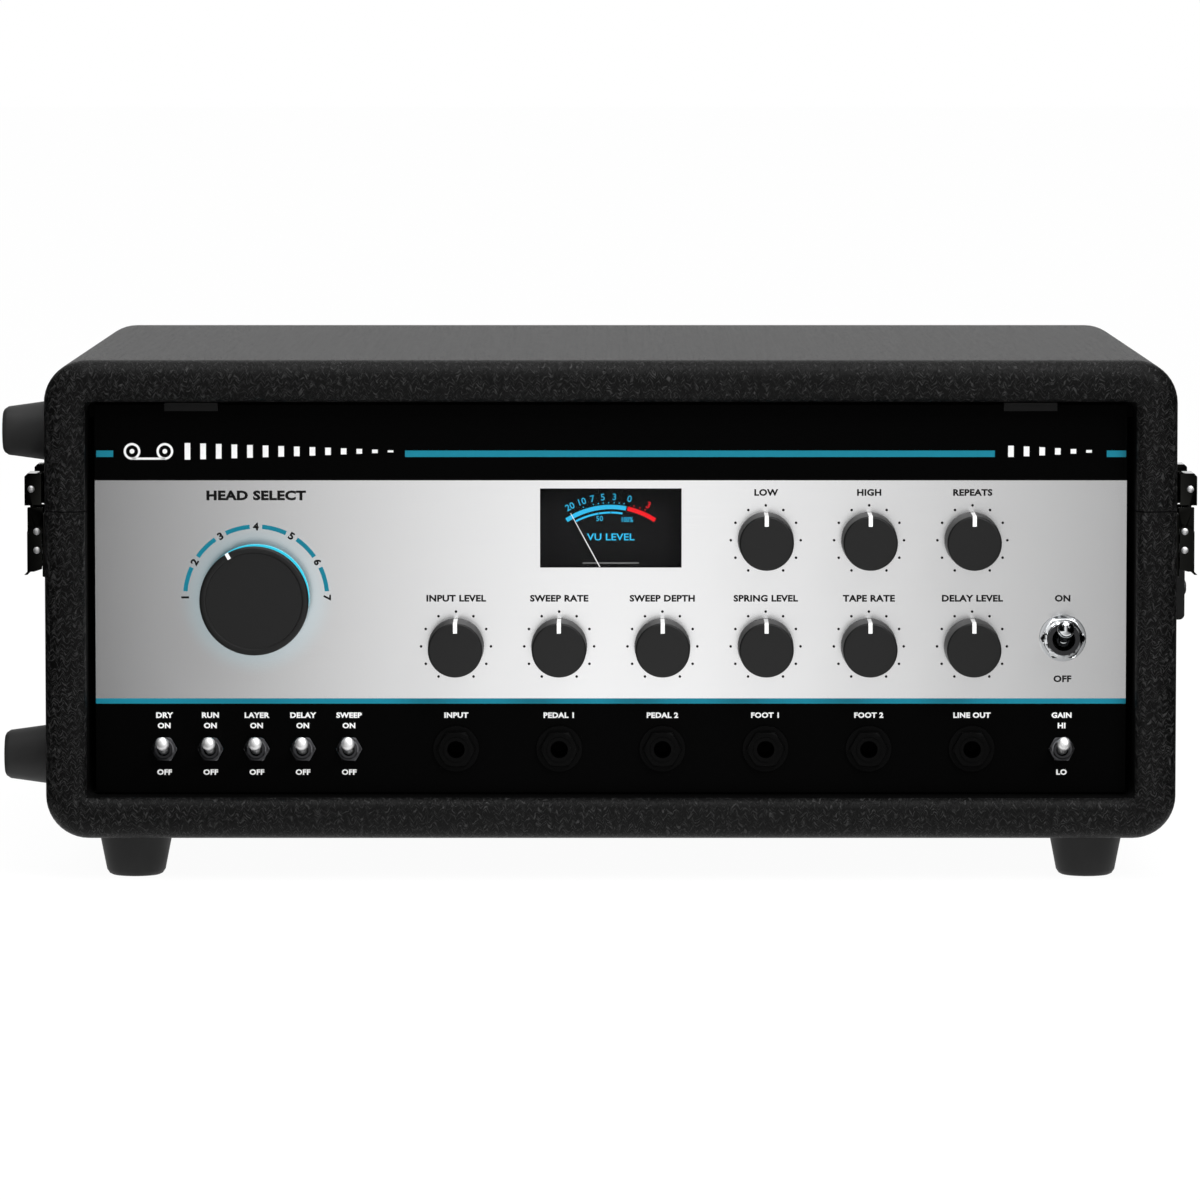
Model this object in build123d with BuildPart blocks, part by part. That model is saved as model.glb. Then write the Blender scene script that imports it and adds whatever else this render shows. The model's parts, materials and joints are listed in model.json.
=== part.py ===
"""Tape echo unit: a vinyl covered wooden case with a lift-off lid, a control panel at the front,
a tape deck with an endless loop under the lid, a spring reverb and the electronics below it.

Millimetres. X runs to the right of someone facing the panel, Y runs to the back, Z runs up.
The origin is under the middle of the case, on the plane of the four bottom feet.
"""

import os
from math import cos, pi, radians, sin

from build123d import *

os.makedirs("parts", exist_ok=True)

# ---------------------------------------------------------------- driving dimensions
# Case
case_width = 420.0
case_height = 178.0
case_depth = 310.0
case_wall = 15.5
case_corner = 16.0
case_inner_corner = 4.0
rim_round = 7.0
inner_rim_round = 4.5
lid_height = 56.0
seam_gap = 0.4

# Bottom feet and the side feet that the unit stands on when it is carried
foot_height = 16.0
foot_top_radius = 13.75
foot_bottom_radius = 11.0
foot_round = 2.0
foot_side_inset = 32.0
foot_end_inset = 30.0
side_foot_length = 17.2
side_foot_base_radius = 11.2
side_foot_tip_radius = 9.1
side_foot_end_inset = 35.0
side_foot_low_height = 28.6
side_foot_high_drop = 27.8
screw_radius = 2.0
screw_head_radius = 4.2
screw_head_height = 2.5
screw_grip = 9.0
screw_recess_depth = 9.0
screw_recess_radius = 5.0

# Clearances
seat_gap = 0.05
running_gap = 0.05
moving_gap = 0.3
screw_hole_gap = 0.2
panel_hole_gap = 0.15

# Control panel and rear panel
panel_recess = 13.0
panel_thickness = 2.5
panel_side_gap = 2.8
panel_top_gap = 1.5
panel_bottom_gap = 1.0
panel_clip_width = 19.8
panel_clip_inset = 35.9
panel_clip_sheet = 0.8
panel_clip_drop = 2.3
rear_panel_thickness = 2.0
vent_count = 9
vent_pitch = 9.0
vent_width = 4.0
vent_height = 34.0
vent_inset = 111.7
vent_above_floor = 88.0

# Control positions: insets from the panel's sides, and heights above the case bottom
mode_inset = 59.8
power_inset = 23.6
knob_mode_gap = 74.3
knob_power_gap = 33.7
knob_count = 6
upper_knob_count = 3
knob_row_low = 71.0
knob_row_high = 110.6
mode_height = 89.3
power_height = 74.2
lower_row = 32.8
mini_inset = 25.4
mini_pitch = 17.2
mini_count = 5
level_switch_inset = 23.8

# Knobs
knob_base_radius = 10.4
knob_face_radius = 10.05
knob_height = 18.0
knob_edge = 0.7
knob_skirt_gap = 1.0
knob_cavity_radius = 7.2
knob_cavity_depth = 3.8
knob_pointer_width = 1.5
knob_pointer_length = 3.6
knob_pointer_rise = 0.2
mode_knob_radius = 20.3
mode_knob_taper = 0.4
mode_knob_edge = 1.0
mode_knob_skirt_gap = 2.0
mode_knob_cavity_radius = 9.0
mode_knob_border = 2.3
mode_knob_dish = 0.4
mode_rest_angle = 120.0
shaft_radius = 3.0
shaft_in_knob = 10.0
shaft_in_body = 4.0
glow_inner_radius = 12.0
glow_outer_radius = 18.6
glow_thickness = 1.2

# Potentiometers, rotary switch and control board
pot_body_radius = 8.25
pot_body_depth = 8.0
bushing_radius = 3.5
bushing_reach = 4.4
nut_thickness = 2.0
pot_nut_flats = 10.0
rotary_body_radius = 14.0
rotary_body_depth = 20.0
rotary_bushing_radius = 4.75
rotary_nut_flats = 14.0
board_thickness = 1.6
board_margin = 14.0

# Toggle switches
power_body_width = 17.0
power_body_height = 28.0
power_body_depth = 24.0
power_bushing_radius = 5.95
power_bushing_bore = 4.3
power_bushing_reach = 8.0
power_washer_radius = 8.75
power_washer_thickness = 1.0
power_nut_flats = 14.6
power_nut_thickness = 2.6
power_ball_radius = 3.9
power_stem_radius = 1.9
power_tip_radius = 3.3
power_lever_length = 21.0
power_pivot_depth = 4.0
power_tilt = 16.0
mini_body_width = 7.0
mini_body_height = 13.0
mini_body_depth = 10.0
mini_bushing_radius = 3.1
mini_bushing_bore = 2.3
mini_bushing_reach = 5.5
mini_nut_flats = 8.7
mini_ball_radius = 2.05
mini_stem_radius = 1.0
mini_tip_radius = 2.2
mini_lever_length = 13.0
mini_pivot_depth = 2.5
mini_tilt = 16.0
toggle_pin_share = 0.25
toggle_pin_reach = 0.15

# Jack sockets
jack_bore = 3.225
jack_bore_depth = 24.0
jack_barrel_radius = 4.5
jack_barrel_reach = 4.4
jack_body_size = 15.5
jack_body_depth = 25.0
jack_washer_radius = 8.6
jack_washer_thickness = 1.2
jack_nut_flats = 12.8
jack_nut_thickness = 2.6

# Level meter
meter_window_width = 52.6
meter_window_height = 29.5
meter_window_bottom = 100.4
meter_window_thickness = 2.0
meter_window_inset = 0.4
meter_side_margin = 4.7
meter_top_margin = 4.0
meter_bottom_margin = 16.5
meter_depth = 34.0
meter_wall = 1.5
meter_dial_inset = 5.0
meter_dial_thickness = 1.0
meter_pivot_drop = 7.7
meter_coil_radius = 7.0
needle_length = 31.4
needle_width = 0.8
needle_thickness = 0.5
needle_rest_angle = 28.5
needle_hub_radius = 2.6
needle_pin_radius = 0.8
needle_dial_gap = 1.7

# Chassis and boards
sheet = 1.5
chassis_corner_gap = 0.5
chassis_wall_height = 60.0
chassis_ear_width = 11.5
board_standoff = 8.0
standoff_radius = 3.0
main_board_length = 270.0
main_board_side_gap = 15.0
main_board_front_gap = 35.5
main_board_pan_gap = 10.0
chip_count = 6
chip_end_margin = 10.0
chip_size = (22.0, 8.0, 3.5)
chip_row = 76.0
capacitor_radius = 5.0
capacitor_height = 12.0
capacitor_row = 46.0
relay_size = (10.0, 8.0, 8.0)
relay_row = 26.0
transformer_size = (58.0, 62.0, 56.0)
transformer_side_gap = 12.0
transformer_back_gap = 46.0
transformer_winding = 9.0
pan_transformer_gap = 62.0
pan_width = 108.0
pan_side_gap = 12.0
pan_back_gap = 10.0
pan_height = 34.0
pan_sheet = 1.2
spring_count = 3
spring_pitch_y = 22.0
spring_coil_radius = 2.4
spring_wire_radius = 0.5
spring_lead = 9.0
transducer_length = 22.0
transducer_size = 14.0

# Rear connectors
rear_height = 44.0
rear_jack_insets = (96.7, 119.7)
fuse_inset = 69.7
fuse_radius = 6.0
fuse_cap_radius = 8.0
fuse_cap_height = 9.0
fuse_body_depth = 26.0
inlet_inset = 36.7
inlet_body_width = 27.5
inlet_body_height = 20.0
inlet_body_depth = 22.0
inlet_flange_margin = 2.5
inlet_flange_thickness = 2.0
inlet_recess_width = 24.5
inlet_recess_height = 16.5
inlet_recess_depth = 18.0
inlet_pin_length = 11.5
inlet_pin_width = 2.0
inlet_pin_height = 4.0
inlet_pin_pitch = 7.0
inlet_pin_raise = 2.0

# Tape deck
deck_drop = 52.0
deck_thickness = 2.0
deck_front_gap = 42.0
deck_back_gap = 8.0
deck_side_gap = 6.5
deck_post_radius = 4.0
deck_post_inset = 4.0
head_line_inset = 38.0
tape_width = 6.35
tape_thickness = 0.4
tape_height = 10.0
tape_side_inset = 59.0
tape_turn = 14.0
tape_gap = 0.3
tank_side_room = 11.0
tank_head_gap = 32.0
tank_back_inset = 14.0
tank_height = 24.0
tank_wall = 1.5
tank_slot_width = 16.0
tank_fold_pitch = 40.0
tank_fold_count = 4
tank_fold_front_gap = 34.0
tank_fold_back_gap = 26.0
cover_thickness = 3.0
cover_overhang = 1.5
cover_screw_radius = 5.0
cover_screw_height = 4.0
head_width = 11.0
head_depth = 12.0
head_height = 13.0
head_nose_radius = 4.0
head_start = 45.0
head_spacing = (0.0, 24.0, 50.0, 74.0, 98.0)
head_lift = 6.0
bracket_sheet = 2.0
bracket_height = 21.0
bracket_foot = 9.0
bracket_margin = 3.0
guide_height = 12.0
guide_flange = 1.5

# Capstan drive
capstan_inset = 93.0
capstan_radius = 3.0
capstan_top = 21.5
bearing_radius = 7.0
bearing_above = 6.0
bearing_below = 8.0
collar_radius = 4.5
collar_thickness = 1.5
flywheel_radius = 45.0
flywheel_thickness = 14.0
flywheel_drop = 2.0
pulley_radius = 7.0
pulley_bore = 1.6
motor_distance = 112.0
motor_radius = 23.0
motor_floor_gap = 5.4
motor_shaft_gap = 12.0
motor_post_radius = 2.5
motor_post_circle = 18.0
motor_post_count = 3
belt_thickness = 1.2
belt_height = 5.0
pinch_radius = 10.0
pinch_height = 12.0
pinch_pin_radius = 2.0
pinch_shoulder = 1.5
pinch_arm_thickness = 3.0
pinch_arm_radius = 5.5
pinch_pivot_out = 45.0
pinch_pivot_back = 20.0
pinch_pivot_radius = 3.0

# Draw latches, mirrored left and right, front and back
latch_end_inset = 22.0
latch_width = 22.4
latch_plate_width = 26.0
latch_sheet = 1.0
latch_cheek = 1.2
latch_pivot_out = 3.2
latch_pivot_drop = 8.0
latch_link_drop = 7.0
latch_pin_radius = 1.2
latch_plate_length = 23.4
latch_plate_top = 1.4
latch_ear_width = 18.4
latch_ear_reach = 3.0
latch_ear_rise = 0.9
latch_lever_out = 6.8
latch_lever_length = 8.0
latch_lip_out = 1.2
latch_claw_width = 14.8
latch_claw_sheet = 1.2
latch_knuckle_radius = 2.0
latch_claw_top = 13.4
latch_claw_out = 8.0
latch_claw_cheek = 1.0
latch_claw_inset = 1.6
latch_lip_overlap = 0.35
latch_lip_gap = 1.2
latch_lip_thickness = 2.2
latch_keeper_shelf = 2.6
latch_keeper_out = 3.4
latch_keeper_start = 2.0
latch_keeper_play = 0.4
latch_head_out = 4.3
latch_head_height = 2.6
latch_head_gap = 0.7

# Strap handle on the right side
handle_cap_width = 22.5
handle_cap_length = 27.0
handle_cap_out = 6.4
handle_cap_wall = 1.4
handle_cap_round = 2.0
handle_end_inset = 52.0
strap_width = 17.6
strap_thickness = 3.2
strap_rise = 10.3
strap_lift = 0.5
strap_end_gap = 1.2

# ---------------------------------------------------------------- places that follow from them
case_bottom = foot_height
case_top = case_bottom + case_height
floor_z = case_bottom + case_wall
roof_z = case_top - case_wall
seam_z = case_top - lid_height
side_x = case_width / 2
inner_x = side_x - case_wall
front_y = -case_depth / 2
back_y = case_depth / 2
panel_front = front_y + panel_recess
panel_back = panel_front + panel_thickness
panel_half_width = inner_x - panel_side_gap
panel_z = (floor_z + panel_bottom_gap, roof_z - panel_top_gap)
rear_face_y = back_y - panel_recess
rear_inner_y = rear_face_y - rear_panel_thickness
deck_bottom = case_top - deck_drop
deck_top = deck_bottom + deck_thickness
deck_front = panel_front + deck_front_gap
deck_back = rear_inner_y - deck_back_gap
deck_half = inner_x - deck_side_gap
tape_z = deck_top + tape_height
chassis_x = inner_x - case_inner_corner - chassis_corner_gap
chassis_top = floor_z + sheet
side_foot_high_height = case_height - side_foot_high_drop

mode_x = mode_inset - panel_half_width
power_x = panel_half_width - power_inset
level_switch_x = panel_half_width - level_switch_inset
mini_first_x = mini_inset - panel_half_width
knob_first_x = mode_x + knob_mode_gap
knob_pitch = (power_x - knob_power_gap - knob_first_x) / (knob_count - 1)
inlet_x = inlet_inset - panel_half_width
fuse_x = fuse_inset - panel_half_width
rear_jack_x = [inset - panel_half_width for inset in rear_jack_insets]
vent_centre_x = panel_half_width - vent_inset

knob_columns = [knob_first_x + knob_pitch * step for step in range(knob_count)]
upper_columns = knob_columns[-upper_knob_count:]
knob_points = [(x, knob_row_low) for x in knob_columns] + [(x, knob_row_high) for x in upper_columns]
knob_names = (
    "input_knob", "mod_rate_knob", "mod_depth_knob", "reverb_knob", "tape_speed_knob",
    "echo_knob", "bass_knob", "treble_knob", "repeat_knob",
)
jack_points = [(x, lower_row) for x in knob_columns]
mini_points = [(mini_first_x + mini_pitch * step, lower_row) for step in range(mini_count)]
mini_points.append((level_switch_x, lower_row))
mini_names = (
    "direct_switch_lever", "motor_switch_lever", "layer_switch_lever", "delay_switch_lever",
    "mod_switch_lever", "level_switch_lever",
)


# ---------------------------------------------------------------- shared shapes
def front_face(x, height):
    """Plane on the panel's front at a control's place, facing the player."""
    return Plane(origin=(x, panel_front, case_bottom + height), x_dir=(1, 0, 0), z_dir=(0, -1, 0))


def rear_face(x, height):
    """Plane on the outside of the rear panel at a connector's place."""
    return Plane(origin=(x, rear_face_y, case_bottom + height), x_dir=(-1, 0, 0), z_dir=(0, 1, 0))


def level(x, y, z):
    """Horizontal plane with its origin at a point, facing up."""
    return Plane(origin=(x, y, z))


def disc(face, radius, low, high, mode=Mode.ADD):
    """Cylinder on the axis of face, from one height above it to another."""
    with BuildSketch(face.offset(low)) as outline:
        Circle(radius)
    extrude(outline.sketch, amount=high - low, mode=mode)


def block(face, width, height, low, high, mode=Mode.ADD):
    """Rectangular block centred on the axis of face, from one height above it to another."""
    with BuildSketch(face.offset(low)) as outline:
        Rectangle(width, height)
    extrude(outline.sketch, amount=high - low, mode=mode)


def hexagon(face, flats, low, high):
    """Hexagonal block on the axis of face, flats facing up and down."""
    with BuildSketch(face.offset(low)) as outline:
        RegularPolygon(flats / 2, 6, major_radius=False)
    extrude(outline.sketch, amount=high - low)


def nut(face, flats, bore, low, high):
    """Hexagon nut around a threaded bushing."""
    hexagon(face, flats, low, high)
    disc(face, bore, low, high, mode=Mode.SUBTRACT)


def turned(face, outline):
    """Solid turned about the axis of face, from points of radius and height."""
    section = Plane(origin=face.origin, x_dir=face.x_dir, z_dir=-face.y_dir)
    with BuildSketch(section) as profile:
        with BuildLine():
            Polyline(*outline, close=True)
        make_face()
    revolve(profile.sketch, axis=Axis(face.origin, face.z_dir))


def slab(x_span, y_span, z_span, mode=Mode.ADD):
    """Rectangular block that fills three spans."""
    spans = (x_span, y_span, z_span)
    with Locations(tuple(sum(span) / 2 for span in spans)):
        Box(*[high - low for low, high in spans], mode=mode)


def about(centre, width):
    """Span of a width about a centre."""
    return centre - width / 2, centre + width / 2


def finish(piece, name):
    """Labels a finished piece and writes its STEP file."""
    piece.part.label = name
    export_step(piece.part, f"parts/{name}.step")


# ---------------------------------------------------------------- case and lid
def case_shell():
    """Wooden tunnel of the whole case, open at the front and back, with rounded rims."""
    with BuildPart() as shell:
        with BuildSketch(Plane.XZ):
            with Locations((0, case_bottom + case_height / 2)):
                RectangleRounded(case_width, case_height, case_corner)
                RectangleRounded(
                    case_width - 2 * case_wall, case_height - 2 * case_wall, case_inner_corner,
                    mode=Mode.SUBTRACT,
                )
        extrude(amount=case_depth / 2, both=True)
        for end in (shell.faces().sort_by(Axis.Y)[0], shell.faces().sort_by(Axis.Y)[-1]):
            fillet(end.outer_wire().edges(), rim_round)
        for end in (shell.faces().sort_by(Axis.Y)[0], shell.faces().sort_by(Axis.Y)[-1]):
            fillet(end.inner_wires()[0].edges(), inner_rim_round)
    return shell.part


bottom_foot_faces = [
    Plane(origin=(x, y, case_bottom), x_dir=(1, 0, 0), z_dir=(0, 0, -1))
    for x in (foot_side_inset - side_x, side_x - foot_side_inset)
    for y in (front_y + foot_end_inset, back_y - foot_end_inset)
]


def side_foot_faces(height):
    """Planes on the left side where a pair of side feet stands."""
    return [
        Plane(origin=(-side_x, y, case_bottom + height), x_dir=(0, 1, 0), z_dir=(-1, 0, 0))
        for y in (front_y + side_foot_end_inset, back_y - side_foot_end_inset)
    ]


def foot(face, base_radius, tip_radius, length):
    """Tapered rubber foot with a recess for its screw."""
    turned(face, [
        (screw_radius + screw_hole_gap, 0),
        (base_radius, 0),
        (tip_radius, length - foot_round),
        (tip_radius - foot_round / 2, length - foot_round / 4),
        (tip_radius - foot_round, length),
        (screw_recess_radius, length),
        (screw_recess_radius, length - screw_recess_depth),
        (screw_radius + screw_hole_gap, length - screw_recess_depth),
    ])


def foot_screw(face, length):
    """Pan head screw seated in the recess of a foot and driven into the wood."""
    seat = length - screw_recess_depth + seat_gap
    turned(face, [
        (0, -screw_grip),
        (screw_radius, -screw_grip),
        (screw_radius, seat),
        (screw_head_radius, seat),
        (screw_head_radius, seat + screw_head_height / 2),
        (screw_head_radius / 2, seat + screw_head_height),
        (0, seat + screw_head_height),
    ])


def screw_pilot(face):
    """Hole in the wood for a foot's screw."""
    disc(face, screw_radius + running_gap, 0, -screw_grip - seat_gap, mode=Mode.SUBTRACT)


low_side_faces = side_foot_faces(side_foot_low_height)
high_side_faces = side_foot_faces(side_foot_high_height)
shell_part = case_shell()

with BuildPart() as case_base:
    add(shell_part)
    split(bisect_by=Plane.XY.offset(seam_z - seam_gap / 2), keep=Keep.BOTTOM)
    for face in bottom_foot_faces + low_side_faces:
        screw_pilot(face)
finish(case_base, "case_base")

with BuildPart() as lid:
    add(shell_part)
    split(bisect_by=Plane.XY.offset(seam_z + seam_gap / 2), keep=Keep.TOP)
    for face in high_side_faces:
        screw_pilot(face)
finish(lid, "lid")

with BuildPart() as bottom_feet:
    for face in bottom_foot_faces:
        foot(face, foot_top_radius, foot_bottom_radius, foot_height)
finish(bottom_feet, "bottom_feet")

with BuildPart() as side_feet:
    for face in low_side_faces:
        foot(face, side_foot_base_radius, side_foot_tip_radius, side_foot_length)
finish(side_feet, "side_feet")

with BuildPart() as feet_screws:
    for face in bottom_foot_faces:
        foot_screw(face, foot_height)
    for face in low_side_faces:
        foot_screw(face, side_foot_length)
finish(feet_screws, "feet_screws")

with BuildPart() as lid_side_feet:
    for face in high_side_faces:
        foot(face, side_foot_base_radius, side_foot_tip_radius, side_foot_length)
        foot_screw(face, side_foot_length)
finish(lid_side_feet, "lid_side_feet")

# ---------------------------------------------------------------- draw latches
latch_centres = (front_y + latch_end_inset, back_y - latch_end_inset)
latch_pivot_z = seam_z - latch_pivot_drop
latch_link_z = latch_pivot_z - latch_link_drop
latch_lever_bottom = latch_link_z - latch_lever_length
latch_ear_top_z = seam_z + latch_ear_rise
latch_claw_top_z = seam_z + latch_claw_top
latch_head_z = latch_claw_top_z + latch_head_gap
latch_shelf_out = latch_keeper_out
latch_claw_inner = latch_shelf_out - latch_lip_overlap
latch_shelf_top = latch_claw_top_z - latch_lip_thickness - latch_lip_gap
claw_plate_out = latch_pivot_out + latch_pin_radius + moving_gap


def across(side, out):
    """X of a point that stands out from the case side by a distance."""
    return side * (side_x + out)


def side_profile(side, centre_y, points, low, high, mode=Mode.ADD):
    """Plate cut to points of (distance out, height), standing between two offsets from centre_y."""
    with BuildSketch(Plane.XZ.offset(-centre_y - high)) as profile:
        with BuildLine():
            Polyline(*[(across(side, out), z) for out, z in points], close=True)
        make_face()
    extrude(profile.sketch, amount=high - low, mode=mode)


def side_pin(side, centre_y, out, z, radius, width, mode=Mode.ADD):
    """Pin along Y, centred on centre_y."""
    with BuildSketch(Plane.XZ.offset(-centre_y - width / 2)) as section:
        with Locations((across(side, out), z)):
            Circle(radius)
    extrude(section.sketch, amount=width, mode=mode)


def latch_plates(sides):
    """Plates screwed to the case below the seam, each with two ears that hold the lever's pin."""
    with BuildPart() as plates:
        for side in sides:
            for centre in latch_centres:
                top = seam_z - latch_plate_top
                side_profile(side, centre, [
                    (0, top), (latch_sheet, top),
                    (latch_sheet, top - latch_plate_length), (0, top - latch_plate_length),
                ], -latch_plate_width / 2, latch_plate_width / 2)
                for end in (-1, 1):
                    ear_side = latch_ear_width / 2
                    low, high = sorted((end * ear_side, end * (ear_side - latch_sheet)))
                    side_profile(side, centre, [
                        (latch_sheet, latch_pivot_z - latch_ear_reach),
                        (latch_sheet, latch_ear_top_z),
                        (latch_lever_out, latch_ear_top_z),
                        (latch_lever_out, latch_pivot_z),
                        (latch_pivot_out + latch_ear_reach / 2, latch_pivot_z - latch_ear_reach),
                    ], low, high)
                side_pin(
                    side, centre, latch_pivot_out, latch_pivot_z, latch_pin_radius + running_gap,
                    latch_width, mode=Mode.SUBTRACT,
                )
    return plates


def latch_levers(side):
    """Levers of one side: two cheeks, a folded outer skin with a finger lip, and the two pins."""
    head = latch_pivot_out - latch_sheet - moving_gap
    with BuildPart() as levers:
        for centre in latch_centres:
            for end in (-1, 1):
                low, high = sorted((end * latch_width / 2, end * (latch_width / 2 - latch_cheek)))
                side_profile(side, centre, [
                    (latch_pivot_out - head, latch_pivot_z + head / 2),
                    (latch_pivot_out - head / 2, latch_pivot_z + head),
                    (latch_lever_out - latch_cheek, latch_pivot_z + head),
                    (latch_lever_out, latch_pivot_z),
                    (latch_lever_out, latch_lever_bottom),
                    (latch_lever_out - 2 * latch_cheek, latch_lever_bottom),
                    (latch_pivot_out - head, latch_link_z - latch_link_drop),
                ], low, high)
            skin_top = latch_link_z - latch_knuckle_radius - latch_claw_sheet
            side_profile(side, centre, [
                (latch_lever_out - latch_cheek, skin_top),
                (latch_lever_out, skin_top),
                (latch_lever_out, latch_lever_bottom),
                (latch_lever_out + latch_lip_out, latch_lever_bottom - latch_lip_out),
                (latch_lever_out + latch_lip_out - latch_cheek, latch_lever_bottom - latch_lip_out),
                (latch_lever_out - latch_cheek, latch_lever_bottom),
            ], -latch_width / 2, latch_width / 2)
            for z in (latch_pivot_z, latch_link_z):
                side_pin(side, centre, latch_pivot_out, z, latch_pin_radius, latch_width)
    return levers


def latch_claws(side):
    """Claws of one side: a knuckle on the lever's lower pin, a hook over the keeper's shelf, two cheeks."""
    hook_foot = seam_z + latch_plate_top
    with BuildPart() as claws:
        for centre in latch_centres:
            half = latch_claw_width / 2
            side_pin(side, centre, latch_pivot_out, latch_link_z, latch_knuckle_radius, latch_claw_width)
            side_profile(side, centre, [
                (latch_pivot_out, latch_link_z),
                (latch_pivot_out, latch_link_z - latch_knuckle_radius),
                (claw_plate_out + latch_claw_sheet, latch_link_z - latch_knuckle_radius),
                (claw_plate_out + latch_claw_sheet, hook_foot),
                (latch_claw_out, hook_foot),
                (latch_claw_out, latch_claw_top_z - latch_claw_sheet),
                (latch_claw_out - latch_claw_sheet, latch_claw_top_z),
                (latch_claw_inner, latch_claw_top_z),
                (latch_claw_inner, latch_claw_top_z - latch_lip_thickness),
                (claw_plate_out, latch_claw_top_z - latch_lip_thickness),
                (claw_plate_out, latch_link_z),
            ], -half, half)
            for end in (-1, 1):
                low, high = sorted((end * half, end * (half - latch_claw_cheek)))
                side_profile(side, centre, [
                    (latch_claw_inset, hook_foot), (latch_claw_out, hook_foot),
                    (latch_claw_out, latch_claw_top_z - latch_claw_sheet),
                    (latch_claw_out - latch_claw_sheet, latch_claw_top_z),
                    (latch_claw_inset, latch_claw_top_z),
                ], low, high)
            side_pin(
                side, centre, latch_pivot_out, latch_link_z, latch_pin_radius + running_gap,
                latch_claw_width, mode=Mode.SUBTRACT,
            )
    return claws


with BuildPart() as latch_keepers:
    for side in (-1, 1):
        for centre in latch_centres:
            keeper_half = latch_claw_width / 2 - latch_claw_cheek - latch_keeper_play
            keeper_foot = seam_z + latch_keeper_start
            head_top = latch_head_z + latch_head_height
            side_profile(side, centre, [
                (0, keeper_foot), (latch_sheet, keeper_foot),
                (latch_sheet, latch_shelf_top - latch_keeper_shelf),
                (latch_shelf_out, latch_shelf_top - latch_keeper_shelf / 2),
                (latch_shelf_out, latch_shelf_top), (latch_sheet, latch_shelf_top),
                (latch_sheet, latch_head_z), (latch_head_out, latch_head_z),
                (latch_head_out, head_top - latch_sheet), (latch_head_out - latch_sheet, head_top),
                (0, head_top),
            ], -keeper_half, keeper_half)
finish(latch_keepers, "latch_keepers")

finish(latch_plates((-1, 1)), "latch_plates")
for side, side_name in ((1, "right"), (-1, "left")):
    finish(latch_levers(side), f"latch_levers_{side_name}")
    finish(latch_claws(side), f"latch_claws_{side_name}")

# ---------------------------------------------------------------- strap handle
handle_z = case_bottom + case_height / 2
handle_end = -front_y - handle_end_inset

with BuildPart() as handle_caps:
    for end in (-1, 1):
        cap_y = sorted((end * handle_end, end * (handle_end - handle_cap_length)))
        slab((side_x, side_x + handle_cap_out), cap_y, about(handle_z, handle_cap_width))
    outer_edges = handle_caps.edges().filter_by(Axis.Y).group_by(Axis.X)[-1]
    fillet(outer_edges, handle_cap_round)
    for end in (-1, 1):
        slot_y = sorted((end * (handle_end - handle_cap_wall), end * (handle_end - handle_cap_length)))
        slab(
            (side_x, side_x + handle_cap_out - handle_cap_wall), slot_y,
            about(handle_z, strap_width + 2 * moving_gap), mode=Mode.SUBTRACT,
        )
finish(handle_caps, "handle_caps")

strap_half = handle_end - handle_cap_wall - strap_end_gap
strap_flat = handle_end - handle_cap_length
with BuildPart() as handle_strap:
    with BuildSketch(Plane.XY.offset(handle_z - strap_width / 2)):
        with BuildLine():
            inner = side_x + strap_lift
            outer = inner + strap_thickness
            flat_ends = [
                (inner, -strap_flat), (inner, -strap_half), (outer, -strap_half), (outer, -strap_flat),
            ]
            Polyline(*flat_ends)
            ThreePointArc((outer, -strap_flat), (outer + strap_rise - strap_lift, 0), (outer, strap_flat))
            Polyline(*[(x, -y) for x, y in reversed(flat_ends)])
            ThreePointArc((inner, strap_flat), (inner + strap_rise - strap_lift, 0), (inner, -strap_flat))
        make_face()
    extrude(amount=strap_width)
finish(handle_strap, "handle_strap")

# ---------------------------------------------------------------- panels
window_face = front_face(0, meter_window_bottom + meter_window_height / 2)
mode_face = front_face(mode_x, mode_height)
power_face = front_face(power_x, power_height)
knob_faces = [front_face(x, height) for x, height in knob_points]
jack_faces = [front_face(x, height) for x, height in jack_points]
mini_faces = [front_face(x, height) for x, height in mini_points]

with BuildPart() as faceplate:
    slab((-panel_half_width, panel_half_width), (panel_front, panel_back), panel_z)
    panel_holes = [(mode_face, rotary_bushing_radius), (power_face, power_bushing_radius)]
    panel_holes += [(face, bushing_radius) for face in knob_faces]
    panel_holes += [(face, jack_barrel_radius) for face in jack_faces]
    panel_holes += [(face, mini_bushing_radius) for face in mini_faces]
    for face, radius in panel_holes:
        disc(face, radius + panel_hole_gap, 0, -panel_thickness, mode=Mode.SUBTRACT)
    block(window_face, meter_window_width, meter_window_height, 0, -panel_thickness, mode=Mode.SUBTRACT)
    for clip_x in (panel_clip_inset - panel_half_width, panel_half_width - panel_clip_inset):
        clip_front = panel_front - panel_clip_sheet
        clip_top = panel_z[1] + panel_clip_sheet
        clip_span = about(clip_x, panel_clip_width)
        slab(clip_span, (clip_front, panel_back), (panel_z[1], clip_top))
        slab(clip_span, (clip_front, panel_front), (panel_z[1] - panel_clip_drop, clip_top))
finish(faceplate, "faceplate")

fuse_face = rear_face(fuse_x, rear_height)
inlet_face = rear_face(inlet_x, rear_height)
rear_jack_faces = [rear_face(x, rear_height) for x in rear_jack_x]

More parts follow.
